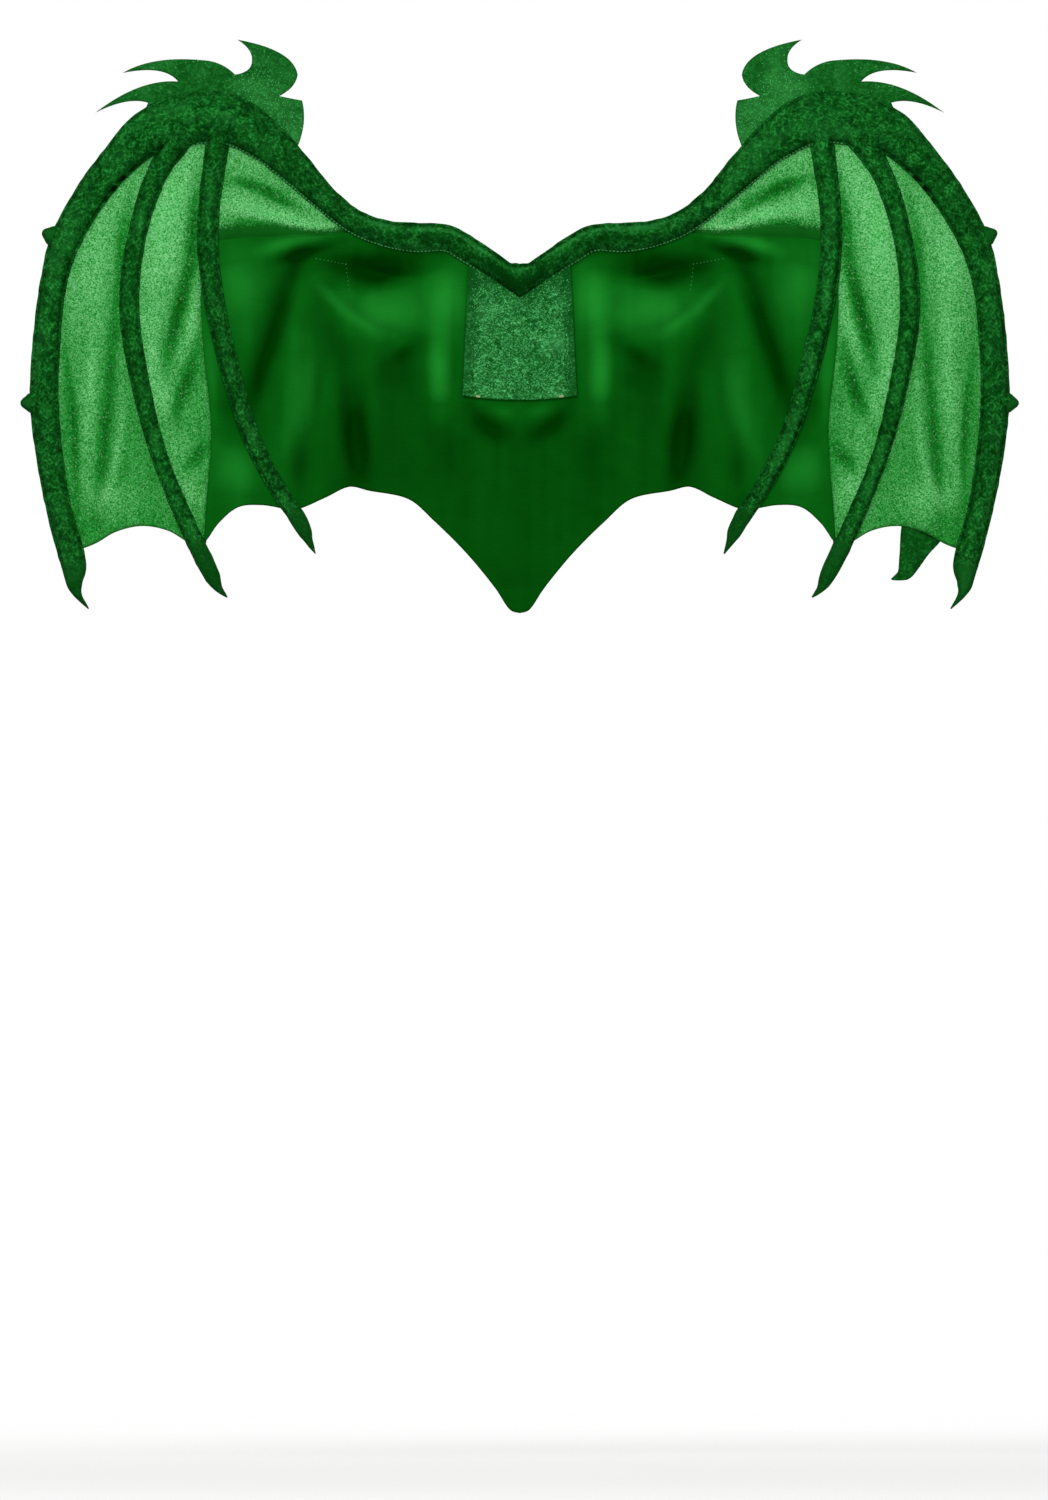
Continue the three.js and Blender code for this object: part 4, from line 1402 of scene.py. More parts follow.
def finished(piece: Piece, slot: Slot, node: str = "") -> Piece:
    """Fixes a piece on the body.

    Args:
        piece: The finished object.
        slot: The slot that its finish belongs to; not used.
        node: The CAD node that it stands for.

    Returns:
        The piece.
    """
    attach(piece, BODY)
    if node:
        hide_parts(node)
    log.info("%s: %d faces", piece.name, len(piece.data.polygons))
    return piece


ROUND_SHAPE = 2.0
LIP = 0.0013
LIP_ROUND = 0.0007
FLANGE = 0.0032
GROOVE = 0.0006
JOIN_ROUND = 0.003
HEM_EDGE = 0.0015
HEM_SOFT = 0.0012
HEM_WIDTH = 0.005


def rib_height(inset: Array, half: Array, rise: Array, flange: Array, fullness: Array) -> Array:
    """How far a padded rib stands out of the cloth.

    Args:
        inset: Distance inside its edge.
        half: Half its width there.
        rise: Height of its middle.
        flange: Width of the flat stitched edge.
        fullness: From 0, flattish, to 1, round.

    Returns:
        The height at each place.
    """
    lip = LIP * np.sqrt(1 - (1 - np.clip(inset / LIP_ROUND, 0, 1)) ** 2)
    inner = np.clip((inset - flange) / np.maximum(half - flange, 1e-5), 0, 1)
    flat = (1 - (1 - inner) ** 2.6) ** 0.62
    full = np.sqrt(1 - (1 - inner) ** ROUND_SHAPE)
    dome = np.maximum(rise - LIP, 0) * mix(flat, full, fullness)
    groove = GROOVE * bell(inset - flange, 0.0008) * (flange > 0.001)
    return np.maximum(lip + dome - groove * np.clip(rise / 0.006, 0, 1), 0)


class RibGrid(NamedTuple):
    """Places on a rib's front. The run along it has the wing's sign, and across is signed too."""

    spots: Array
    run: Array
    across: Array
    inset: Array
    share: Array
    flange: Array


@dataclass
class Rib:
    """A padded velvet rib that lies on the cloth, with a claw at its end."""

    plan: Plan
    line: RibLine
    name: str
    claw_from: float
    across_steps: int = 40
    back_steps: int = 4
    fullness: tuple[float, float, float] = (0.0, 0.0, 0.0)
    creases: tuple[Crease, ...] = ()
    scooped: float = 0.0
    seed: int = 11

    def claw(self, share: Array) -> Array:
        """How far a place is on the smooth claw, from 0 to 1."""
        return smoothstep(share, self.claw_from - 0.004, self.claw_from + 0.010)

    def flange(self, half: Array, share: Array) -> Array:
        """Width of the flat stitched edge."""
        return np.minimum(FLANGE, half * 0.3) * (1 - self.claw(share))

    def form(self, inset: Array, half: Array, share: Array) -> Array:
        """Height of the rib's smooth form.

        Args:
            inset: Distance inside its edge.
            half: Half its width there.
            share: Share of its length.

        Returns:
            The height at each place.
        """
        full, start, end = self.fullness
        round_here = full * (1 - smoothstep(share, start, end)) if full else 0.0
        rise = self.plan.rib_rise * np.sqrt(np.minimum(half / (self.plan.rib_width / 2), 1.6))
        fullness = np.maximum(round_here, self.claw(share))
        return rib_height(inset, half, rise, self.flange(half, share), fullness)

    def height_at(self, points: Array) -> Array:
        """Height of the smooth form over points of the picture plane, 0 beside the rib."""
        inset, half, share = self.line.inset(points)
        return np.where(inset > 0, self.form(inset, half, share), 0)

    def grid(self, side: Side) -> RibGrid:
        """The places of the front surface.

        Args:
            side: The wing.

        Returns:
            A row of places for each station.
        """
        over = np.linspace(-1, 1, self.across_steps + 1)
        over = np.sign(over) * (1 - (1 - np.abs(over)) ** 1.45)
        run = self.line.run[:, None]
        half = self.line.half[:, None] * (1 - self.scooped * bell(run - 0.013, 0.010) * (over > 0))
        spots = self.line.centre[:, None] + self.line.across[:, None] * (over * half)[..., None]
        share = np.linspace(0, 1, len(run))[:, None]
        run, share, _ = np.broadcast_arrays(run * side.value, share, half)
        return RibGrid(spots, run, over * half, half * (1 - np.abs(over)), share, self.flange(half, share))

    def uneven(self, on: RibGrid, long: float, wide: float, which: int) -> Array:
        """Noise in bumps of a length and a width."""
        return bumps(xyz(on.run, on.across, 0), (long, wide, 1), self.seed + which)

    def crumple(self, on: RibGrid) -> Array:
        """Small dents, puckers and wrinkles of the velvet.

        Args:
            on: Places on the rib.

        Returns:
            What they add to the height.
        """
        smooth = self.claw(on.share)
        rim = smoothstep(on.inset, 0, 0.002)
        dents = 0.00075 * self.uneven(on, 0.014, 0.011, 0) + 0.00042 * self.uneven(on, 0.0045, 0.013, 1)
        by_seam = bell(on.inset - on.flange, 0.0022) * (1 - smooth)
        puckers = 0.00062 * self.uneven(on, 0.0032, 0.02, 3) * by_seam
        total = dents * smoothstep(on.inset - on.flange, 0.0, 0.003) * (1 - 0.8 * smooth) + puckers
        total += 0.00022 * self.uneven(on, 0.0022, 0.0030, 2) * rim
        folds = self.uneven(on, 0.0042, 0.016, 7) * rim
        for crease in self.creases:
            where = 0.5 + 0.5 * np.clip(on.across / np.abs(on.across).max() * crease.side * 2.4, -1, 1)
            total += crease.depth * bell(on.share - crease.along, crease.reach) * where * folds
        return total

    def build(
        self, side: Side, material: Material, others: Sequence[Rib] = (), lift: float = 0.0
    ) -> Piece:
        """Builds the rib's mesh.

        Args:
            side: The wing it belongs to.
            material: Its velvet.
            others: Ribs that it runs into, so that their padding joins without a step.
            lift: How far it lies behind where they meet.

        Returns:
            The object.
        """
        on = self.grid(side)
        height = self.form(on.inset, on.inset + np.abs(on.across), on.share)
        joined = np.max([other.height_at(on.spots) for other in others], axis=0) if others else 0 * height
        meets = smoothstep(joined, 0.0, 0.004)
        together = (height + joined + np.sqrt((height - joined) ** 2 + JOIN_ROUND**2)) / 2
        height = mix(height, np.maximum(together - JOIN_ROUND / 4, height), meets)
        height = height + self.crumple(on) * np.clip(height / 0.002, 0, 1)
        height = np.maximum(height, 0.0004 * smoothstep(on.inset, 0, 0.0005)) - lift * meets
        wavy = 0.00028 * self.uneven(on, 0.006, 1, 5) * smoothstep(0.002 - on.inset, 0, 0.002)
        spots = on.spots + self.line.across[:, None] * (wavy * np.sign(on.across))[..., None]
        seat = self.plan.seat(spots)
        stations, columns = height.shape
        back = np.linspace(columns - 1, 0, self.back_steps + 2)[1:-1].round().astype(int)
        x, z = spots[..., 0] * side.value, spots[..., 1]
        rings = np.concatenate([xyz(x, seat - height, z), xyz(x, seat, z)[:, back]], axis=1)
        index = np.arange(rings[..., 0].size).reshape(rings.shape[:2])
        after = np.roll(index, -1, axis=1)
        faces = np.stack([index[:-1], after[:-1], after[1:], index[1:]], axis=-1).reshape(-1, 4)
        vertices = np.concatenate([rings.reshape(-1, 3), rings[0].mean(0)[None], rings[-1].mean(0)[None]])
        caps = [[b, a, index.size] for a, b in zip(index[0].tolist(), after[0].tolist())]
        caps += [[a, b, index.size + 1] for a, b in zip(index[-1].tolist(), after[-1].tolist())]
        turned = turned_outward(vertices, faces)
        faces = turned.tolist() + (caps if turned is faces else [cap[::-1] for cap in caps])
        marks = {
            "edge": self.edge(on, meets), "claw": self.claw(on.share), "tone": self.tone(on),
            "pile": xyz(on.run, on.across, 0),
        }
        for key, values in marks.items():
            ring = np.concatenate([values, values[:, back]], axis=1)
            marks[key] = np.concatenate([ring.reshape(-1, *values.shape[2:]), ring[[0, -1], columns // 2]])
        return mesh_object(f"{self.name}_{side.word}", vertices, faces, material, marks)

    def edge(self, on: RibGrid, meets: Array) -> Array:
        """How dark the rib is at its edge and its seam, and over 1 where painted shadow fills the gaps of a
        gathered crease.

        Args:
            on: Places on the rib.
            meets: How far it has run into another rib.

        Returns:
            The mark at each place.
        """
        seam = 0.25 * bell(on.inset - on.flange, 0.0006) * (on.flange > 0.001)
        edge = np.maximum(seam, smoothstep(0.0008 - on.inset, 0, 0.0008)) * (1 - meets)
        for crease in self.creases:
            # Painted shadow, near black, in the gaps of a gathered crease
            if crease.worn:
                holes = self.uneven(on._replace(run=np.abs(on.run)), 0.0045, 0.0035, 8)
                inner = smoothstep(0.006 - on.inset, 0, 0.004) * (on.across < 0)
                gaps = bell(on.share - crease.along, crease.reach) * inner * smoothstep(holes, -0.25, 0.2)
                edge = np.maximum(edge, 2.6 * gaps)
        return edge

    def tone(self, on: RibGrid) -> Array:
        """How light the pile is drawn, 0.5 as usual; on the round arm near the neck it holds painted light
        and shade.

        Args:
            on: Places on the rib.

        Returns:
            The tone at each place.
        """
        tone = 0.5 + 0.12 * self.uneven(on, 0.022, 0.012, 9)
        tone -= 0.08 * (1 - smoothstep(on.inset - FLANGE, -0.0006, 0.0012))
        # On the round arm near the neck: a painted highlight along the top, a lighter line by the lower
        # edge, painted shade below the middle, lighter at the top of the middle and painted shade in the V
        # where the arms meet
        if self.fullness[0]:
            over, run = on.across / self.line.half[:, None], np.abs(on.run)
            near_neck = 1 - smoothstep(on.share, self.fullness[1] * 0.75, self.fullness[1] * 1.3)
            blotchy = 0.75 + 0.6 * self.uneven(on, 0.012, 0.006, 12)
            lit = 0.26 * bell(over - 0.55, 0.20) * blotchy + 0.16 * bell(over + 0.8, 0.12)
            tone += near_neck * (lit - 0.36 * bell(over + 0.12, 0.34) * blotchy)
            lumps = 0.7 + 0.5 * self.uneven(on, 0.007, 0.005, 13)
            tone += lumps * (0.60 * bell(run, 0.008) * bell(over - 0.45, 0.5) - 0.55 * bell(run, 0.030))
        return tone

    def edge_path(self, side: Side, edge: float, start: float, end: float, inset: float = FLANGE) -> Array:
        """A stitch line along one edge of the rib.

        Args:
            side: The wing.
            edge: -1 or 1, the edge across the line.
            start: Share of the length where it starts.
            end: Share where it ends.
            inset: Distance inside the edge.

        Returns:
            Rows of x, y and z.
        """
        share = np.linspace(start, end, 400)
        half = np.interp(share, np.linspace(0, 1, len(self.line.half)), self.line.half)
        inward = (np.minimum(inset, half * 0.3) / half)[:, None]
        spots = mix(self.line.at(share, edge), self.line.at(share), inward)
        return xyz(spots[:, 0] * side.value, self.plan.seat(spots) - LIP, spots[:, 1])


def started_nodes(name: str, sizes: Sequence[str]) -> tuple[Tree, Sockets]:
    """Starts Geometry Nodes that strew small pieces.

    Args:
        name: The tree's name.
        sizes: Its inputs beside Geometry, Seed and Finish.

    Returns:
        The tree and its inputs.
    """
    tree = bpy.data.node_groups.new(name, "GeometryNodeTree")
    tree.interface.new_socket("Geometry", in_out="OUTPUT", socket_type="NodeSocketGeometry")
    kinds = {"Geometry": "Geometry", **dict.fromkeys(sizes, "Float"), "Seed": "Int", "Finish": "Material"}
    for key, kind in kinds.items():
        tree.interface.new_socket(key, in_out="INPUT", socket_type=f"NodeSocket{kind}")
    build = Tree(tree)
    return build, build.add("NodeGroupInput").outputs


def strew_pieces(
    build: Tree,
    given: Sockets,
    facing: tuple[Socket, Socket],
    tilts: tuple[object, object, object],
    sizes: tuple[str, str, str],
    rounding: tuple[int, int],
) -> NodeTree:
    """Ends a tree with a small bead on each point, turned at random, real and with its finish.

    Args:
        build: The tree.
        given: Its inputs.
        facing: The points and their rotations.
        tilts: How far the beads turn about each axis.
        sizes: The inputs that give a bead's length, width and height.
        rounding: Segments and rings. More than two rings are shaded smooth.

    Returns:
        The whole tree.
    """
    far = build.out("ShaderNodeCombineXYZ", dict(enumerate(tilts)))
    near = build.out("ShaderNodeVectorMath", {0: far, "Scale": -1.0}, operation="SCALE")
    inputs = {"Min": near, "Max": far, "Seed": given["Seed"]}
    chance = build.out("FunctionNodeRandomValue", inputs, data_type="FLOAT_VECTOR")
    turn = build.out("FunctionNodeEulerToRotation", {0: chance})
    inputs = {"Rotation": facing[1], "Rotate By": turn}
    rotation = build.out("FunctionNodeRotateRotation", inputs, rotation_space="LOCAL")
    inputs = {"Segments": rounding[0], "Rings": rounding[1], "Radius": 0.5}
    bead = build.out("GeometryNodeMeshUVSphere", inputs)
    size = build.out("ShaderNodeCombineXYZ", {k: given[name] for k, name in enumerate(sizes)})
    shaped = build.out("GeometryNodeTransform", {"Geometry": bead, "Scale": size})
    inputs = {"Points": facing[0], "Instance": shaped, "Rotation": rotation}
    real = build.out("GeometryNodeRealizeInstances", {0: build.out("GeometryNodeInstanceOnPoints", inputs)})
    inputs = {"Geometry": real, "Shade Smooth": rounding[1] > 2}
    smooth = build.out("GeometryNodeSetShadeSmooth", inputs)
    dyed = build.out("GeometryNodeSetMaterial", {"Geometry": smooth, "Material": given["Finish"]})
    build.add("NodeGroupOutput", {0: dyed})
    return build.tree


def stitch_tree() -> NodeTree:
    """Geometry Nodes that lay stitches along lines.

    Returns:
        A tree with Pitch, Length, Width, Rise, Skew, Seed and Finish as its inputs.
    """
    build, given = started_nodes("stitches", ("Pitch", "Length", "Width", "Rise", "Skew"))
    curve = build.out("GeometryNodeMeshToCurve", {"Mesh": given["Geometry"]})
    inputs = {"Curve": curve, "Length": given["Pitch"]}
    points = build.add("GeometryNodeCurveToPoints", inputs, mode="LENGTH").outputs
    inputs = {"Primary Axis": points["Tangent"], "Secondary Axis": (0.0, -1.0, 0.0)}
    turned = build.out("FunctionNodeAxesToRotation", inputs, primary_axis="X", secondary_axis="Z")
    facing, tilts = (points["Points"], turned), (0.0, 0.0, given["Skew"])
    return strew_pieces(build, given, facing, tilts, ("Length", "Width", "Rise"), (6, 4))


def flake_tree() -> NodeTree:
    """Geometry Nodes that strew small glitter flakes over a surface where its flecks mark says so.

    Returns:
        A tree with Density, Flake, Thickness, Tilt, Seed and Finish as its inputs.
    """
    build, given = started_nodes("flakes", ("Density", "Flake", "Thickness", "Tilt"))
    flecks = build.out("GeometryNodeInputNamedAttribute", {"Name": "flecks"}, data_type="FLOAT")
    density = build.math("MULTIPLY", flecks, given["Density"])
    inputs = {"Mesh": given["Geometry"], "Density": density, "Seed": given["Seed"]}
    points = build.add("GeometryNodeDistributePointsOnFaces", inputs, distribute_method="RANDOM").outputs
    facing, tilts = (points["Points"], points["Rotation"]), (given["Tilt"],) * 3
    return strew_pieces(build, given, facing, tilts, ("Flake", "Flake", "Thickness"), (4, 2))


def baked(
    name: str, mesh: bpy.types.Mesh, tree: NodeTree, settings: dict[str, object], slot: Slot
) -> Piece:
    """Runs a Geometry Nodes tree on a mesh and keeps the result as a plain mesh.

    Args:
        name: The piece's name.
        mesh: The mesh it starts from.
        tree: The tree.
        settings: Values for its inputs by name.
        slot: The slot of the cloth that the piece is on.

    Returns:
        The piece, fixed on the body.
    """
    source = in_scene(name, mesh)
    modifier = source.modifiers.new("made", "NODES")
    modifier.node_group = tree
    for item in tree.interface.items_tree:
        if item.in_out == "INPUT" and item.name in settings:
            modifier[item.identifier] = settings[item.name]
    bpy.context.view_layer.update()
    graph = bpy.context.evaluated_depsgraph_get()
    made = bpy.data.meshes.new_from_object(source.evaluated_get(graph))
    made.name = name
    bpy.data.objects.remove(source)
    return finished(in_scene(name, made), slot)


@dataclass
class Sewing:
    """Sews stitches along lines."""

    wardrobe: Wardrobe
    pitch: float = 0.0034
    length: float = 0.0024
    width: float = 0.0006
    rise: float = 0.0005
    skew: float = 0.12

    @cached_property
    def tree(self) -> NodeTree:
        """The stitches' Geometry Nodes."""
        return stitch_tree()

    def sew(
        self, name: str, lines: Sequence[Array], thread: Woven, seed: int, slot: Slot, **sizes: float
    ) -> Piece:
        """Sews one piece of stitching.

        Args:
            name: The piece's name.
            lines: Rows of x, y and z for each line.
            thread: Its thread.
            seed: Fixes the stitches' slant.
            slot: The slot of the cloth it is sewn in.
            **sizes: Pitch, length, width or rise where it differs.

        Returns:
            The piece.
        """
        mesh = bpy.data.meshes.new(name + "_lines")
        ends = np.cumsum([0] + [len(line) for line in lines])
        edges = [(k, k + 1) for first, last in zip(ends[:-1], ends[1:]) for k in range(first, last - 1)]
        mesh.from_pydata(np.concatenate(lines).tolist(), edges, [])
        usual = {"pitch": self.pitch, "length": self.length, "width": self.width, "rise": self.rise}
        settings = {key.capitalize(): size for key, size in {**usual, **sizes}.items()}
        settings |= {"Skew": self.skew, "Seed": seed, "Finish": self.wardrobe.material(thread)}
        return baked(name, mesh, self.tree, settings, slot)


@dataclass
class Glitter:
    """Strews small foil flakes on the crushed velvet."""

    wardrobe: Wardrobe
    density: float = 90000.0
    flake: float = 0.0013
    thickness: float = 0.0003
    tilt: float = 0.6

    @cached_property
    def tree(self) -> NodeTree:
        """The flakes' Geometry Nodes."""
        return flake_tree()

    def strew(self, name: str, velvet: Piece, slot: Slot, seed: int) -> Piece:
        """Strews flakes where the velvet's flecks mark says so.

        Args:
            name: The piece's name.
            velvet: The object they lie on.
            slot: The velvet's slot.
            seed: Fixes their places.

        Returns:
            The flakes as one piece.
        """
        settings = {
            "Density": self.density, "Flake": self.flake, "Thickness": self.thickness,
            "Tilt": self.tilt, "Seed": seed, "Finish": self.wardrobe.material(FOIL),
        }
        return baked(name, velvet.data.copy(), self.tree, settings, slot)


@dataclass
class Wing:
    """One wing's ribs and webs."""

    plan: Plan
    wardrobe: Wardrobe
    sewing: Sewing
    side: Side
    web_thickness: float = 0.0011
    hem_extra: float = 0.0005
    lap_depth: float = 0.0014

    @cached_property
    def arm(self) -> Rib:
        """The arm, with its gathers inside the wrist.

        Returns:
            The rib.
        """
        shoulder, upper, lower, hem = map(self.plan.mark, ("shoulder", "upper spur", "lower spur", "hem"))
        gathers = (
            Crease(shoulder - 0.030, 0.034, -1.0, 0.0016, worn=True),
            Crease(0.045, 0.040, 1.0, 0.0012),
            Crease(upper + 0.02, 0.020, 1.0, 0.0012),
            Crease(lower, 0.020, 1.0, 0.0011),
        )
        return Rib(
            self.plan, self.plan.arm, "arm", claw_from=hem + 0.012,
            across_steps=46, fullness=(1.0, 0.18, 0.36), creases=gathers, scooped=0.17, seed=31,
        )

    def finger(self, name: str, line: RibLine, rows: Sequence[RibRow], seed: int) -> Rib:
        """A finger of the wing.

        Args:
            name: Its node's name without the side.
            line: Its line.
            rows: Its table, which marks the hem.
            seed: Fixes its wrinkles.

        Returns:
            The finger.
        """
        hem = next(row for row in rows if row.mark == "hem")
        claw_from = float(line.inset(self.plan.place([hem]))[2][0]) + 0.035
        creases = (Crease(0.36, 0.05, 1.0, 0.0008), Crease(0.62, 0.03, -1.0, 0.0008))
        return Rib(self.plan, line, name, claw_from, across_steps=34, creases=creases, seed=seed)

    def spur(self, mark: str, reach: float = 0.008, base: float = 0.018) -> Rib:
        """A spur on the arm's outer edge.

        Args:
            mark: The arm's row that it stands on.
            reach: How far it stands out.
            base: Its length along the arm.

        Returns:
            The spur.
        """
        share = self.plan.mark(mark)
        seat, root = self.plan.arm.at(share, 1), self.plan.arm.at(share)
        away = (seat - root) / np.linalg.norm(seat - root)
        beyond = np.array([row.out * reach + self.plan.seat_gap for row in SPUR])
        x, z = (seat + away * beyond[:, None]).T
        line = RibLine.through(xyz(x, [row.wide * base for row in SPUR], z), 36)
        return Rib(self.plan, line, mark.replace(" ", "_"), claw_from=-1.0, across_steps=24, seed=91)

    def build_ribs(self) -> None:
        """Builds the arm, the fingers and the spurs, with their stitching."""
        velvet = self.wardrobe.material(VELVET)
        middle = self.finger("middle_finger", self.plan.middle_finger, MIDDLE_FINGER, 51)
        inner = self.finger("inner_finger", self.plan.inner_finger, INNER_FINGER, 71)
        upper, lower = self.spur("upper spur"), self.spur("lower spur")
        for rib, fill in ((self.arm, 0.7), (middle, 0.7), (inner, 0.7), (upper, 0.8), (lower, 0.8)):
            others, lift = ((middle, inner, upper, lower), 0.0) if rib is self.arm else ((self.arm,), 0.0004)
            built = rib.build(self.side, velvet, others, lift)
            finished(built, Slot.VELVET, f"{rib.name}_{self.side.word}")
        lines = []
        for rib, start in ((self.arm, 0.20), (middle, 0.09), (inner, 0.09)):
            lines += [rib.edge_path(self.side, edge, start, rib.claw_from - 0.01) for edge in (-1, 1)]
        name = f"rib_stitches_{self.side.word}"
        self.sewing.sew(name, lines, DARK_THREAD, 5, Slot.VELVET, pitch=0.0042, length=0.0030, rise=0.0004)
        name = f"arm_stitches_{self.side.word}"
        lines = [self.arm.edge_path(self.side, -1, 0.045, 0.40, inset=0.0009)]
        self.sewing.sew(name, lines, PALE_THREAD, 6, Slot.VELVET, length=0.0023, width=0.0013, rise=0.0010)

    def build_webs(self) -> None:
        """Builds the shimmer webs and the gusset."""
        seams = Seams(self.plan)
        foot, middle_foot, hem_end = seams.foot[1], seams.middle_foot[1], seams.at_arm("hem")[1]
        gap, start = self.plan.seam_gap / 2, seams.gusset_end[0]
        inner, middle = (seams.at_arm(f"{name} finger")[1] for name in ("inner", "middle"))
        self.build_web("outer_web", seams, patch(
            (lambda z: seams.middle(z) + gap, seams.beside_arm), seams.outer_hem, seams.under_arm,
            low=(middle_foot, hem_end), high=(middle, seams.at_arm("shoulder")[1]), steps=(74, 130),
        ))
        self.build_web("middle_web", seams, patch(
            (seams.lapped_seam, lambda z: seams.middle(z) - gap), seams.hem, seams.under_arm,
            low=(foot, middle_foot), high=(inner, middle), steps=(60, 130),
        ))
        self.build_web("gusset", seams, patch(
            (lambda z: 0 * z + start, lambda z: seams.seam(z) - gap), seams.lapped_top, seams.under_arm,
            low=(float(seams.lapped_top(start)), seams.corner[1] + gap),
            high=(seams.at_arm("gusset end")[1], inner), steps=(84, 60),
        ))

    def build_web(self, name: str, seams: Seams, spots: Array) -> None:
        """Builds one web.

        Args:
            name: Its node's name without the side.
            seams: The cloths' lines.
            spots: Its grid of x and z on the right wing.
        """
        x, z = spots[..., 0], spots[..., 1]
        signed = spots * [self.side.value, 1]
        depth = self.plan.depth(signed)
        to_hem, grain = z - seams.hem(x), np.ones_like(x)
        if name == "middle_web":
            depth += self.lap_depth * smoothstep(0.003 - x + seams.seam(z), 0, 0.003)
        if name == "gusset":
            depth += self.lap_depth * smoothstep(0.004 - z + seams.satin_top(x), 0, 0.003)
            to_hem, grain = np.ones_like(x), seams.gusset_grain(spots)
        thickness = self.web_thickness + self.hem_extra * smoothstep(HEM_WIDTH - to_hem, 0, HEM_SOFT)
        # The knit's painted light and shade, and the satin's for where the gusset turns smooth
        marks = {
            "tone": web_tone(self.plan, signed), "smooth_tone": satin_tone(self.plan, spots),
            "grain": grain, "edge": smoothstep(HEM_EDGE - to_hem, 0, HEM_SOFT),
        }
        node = f"{name}_{self.side.word}"
        piece, cut = cloth(node, signed, depth, thickness, self.wardrobe.material(SHIMMER), marks)
        finished(piece, Slot.SHIMMER, node)
        cut.declare(piece, "stretched", f"arm_{self.side.word}")


def web_tone(plan: Plan, points: Array) -> Array:
    """Painted light and shade of the shimmer knit, from 0 to 1, lighter towards the top and streaked at
    random.

    Args:
        plan: The wings' plan.
        points: X and z, of either wing.

    Returns:
        The tone at each point.
    """
    right, up = pairs(np.abs(points[..., 0]), points[..., 1]), points[..., 1] / plan.wing_height
    places = xyz(points[..., 0], 0, points[..., 1])
    streaks = 0.04 * bumps(places, 0.03, 8) + 0.05 * bumps(places, (0.006, 1, 0.08), 27)
    top_to_hem = mix(0.40, 0.64, smoothstep(up, -0.42, 0.34))
    return np.clip(top_to_hem + plan.strokes(right, WEB_PAINTED_SHADING, 0.1) + streaks, 0, 1)


def satin_tone(plan: Plan, points: Array) -> Array:
    """Painted light and shade of the satin, from 0 to 1, darker towards the tail, lighter low and outward,
    and streaked at random.

    Args:
        plan: The wings' plan.
        points: X and z, of both wings.

    Returns:
        The tone at each point.
    """
    right, up = pairs(np.abs(points[..., 0]), points[..., 1]), points[..., 1] / plan.wing_height
    places = xyz(points[..., 0], 0, points[..., 1])
    top_to_tail = mix(0.26, 0.50, smoothstep(up, -0.30, 0.05))
    outward = 0.16 * smoothstep(right[..., 0] / plan.half_span, 0.32, 0.50) * smoothstep(-up, 0.1, 0.3)
    streaks = 0.03 * bumps(places, 0.04, 9) + 0.02 * bumps(places, 0.012, 10)
    streaks += 0.04 * bumps(places, (0.007, 1, 0.06), 26)
    return np.clip(top_to_tail + outward + plan.strokes(right, SATIN_PAINTED_SHADING, 0.1) + streaks, 0, 1)


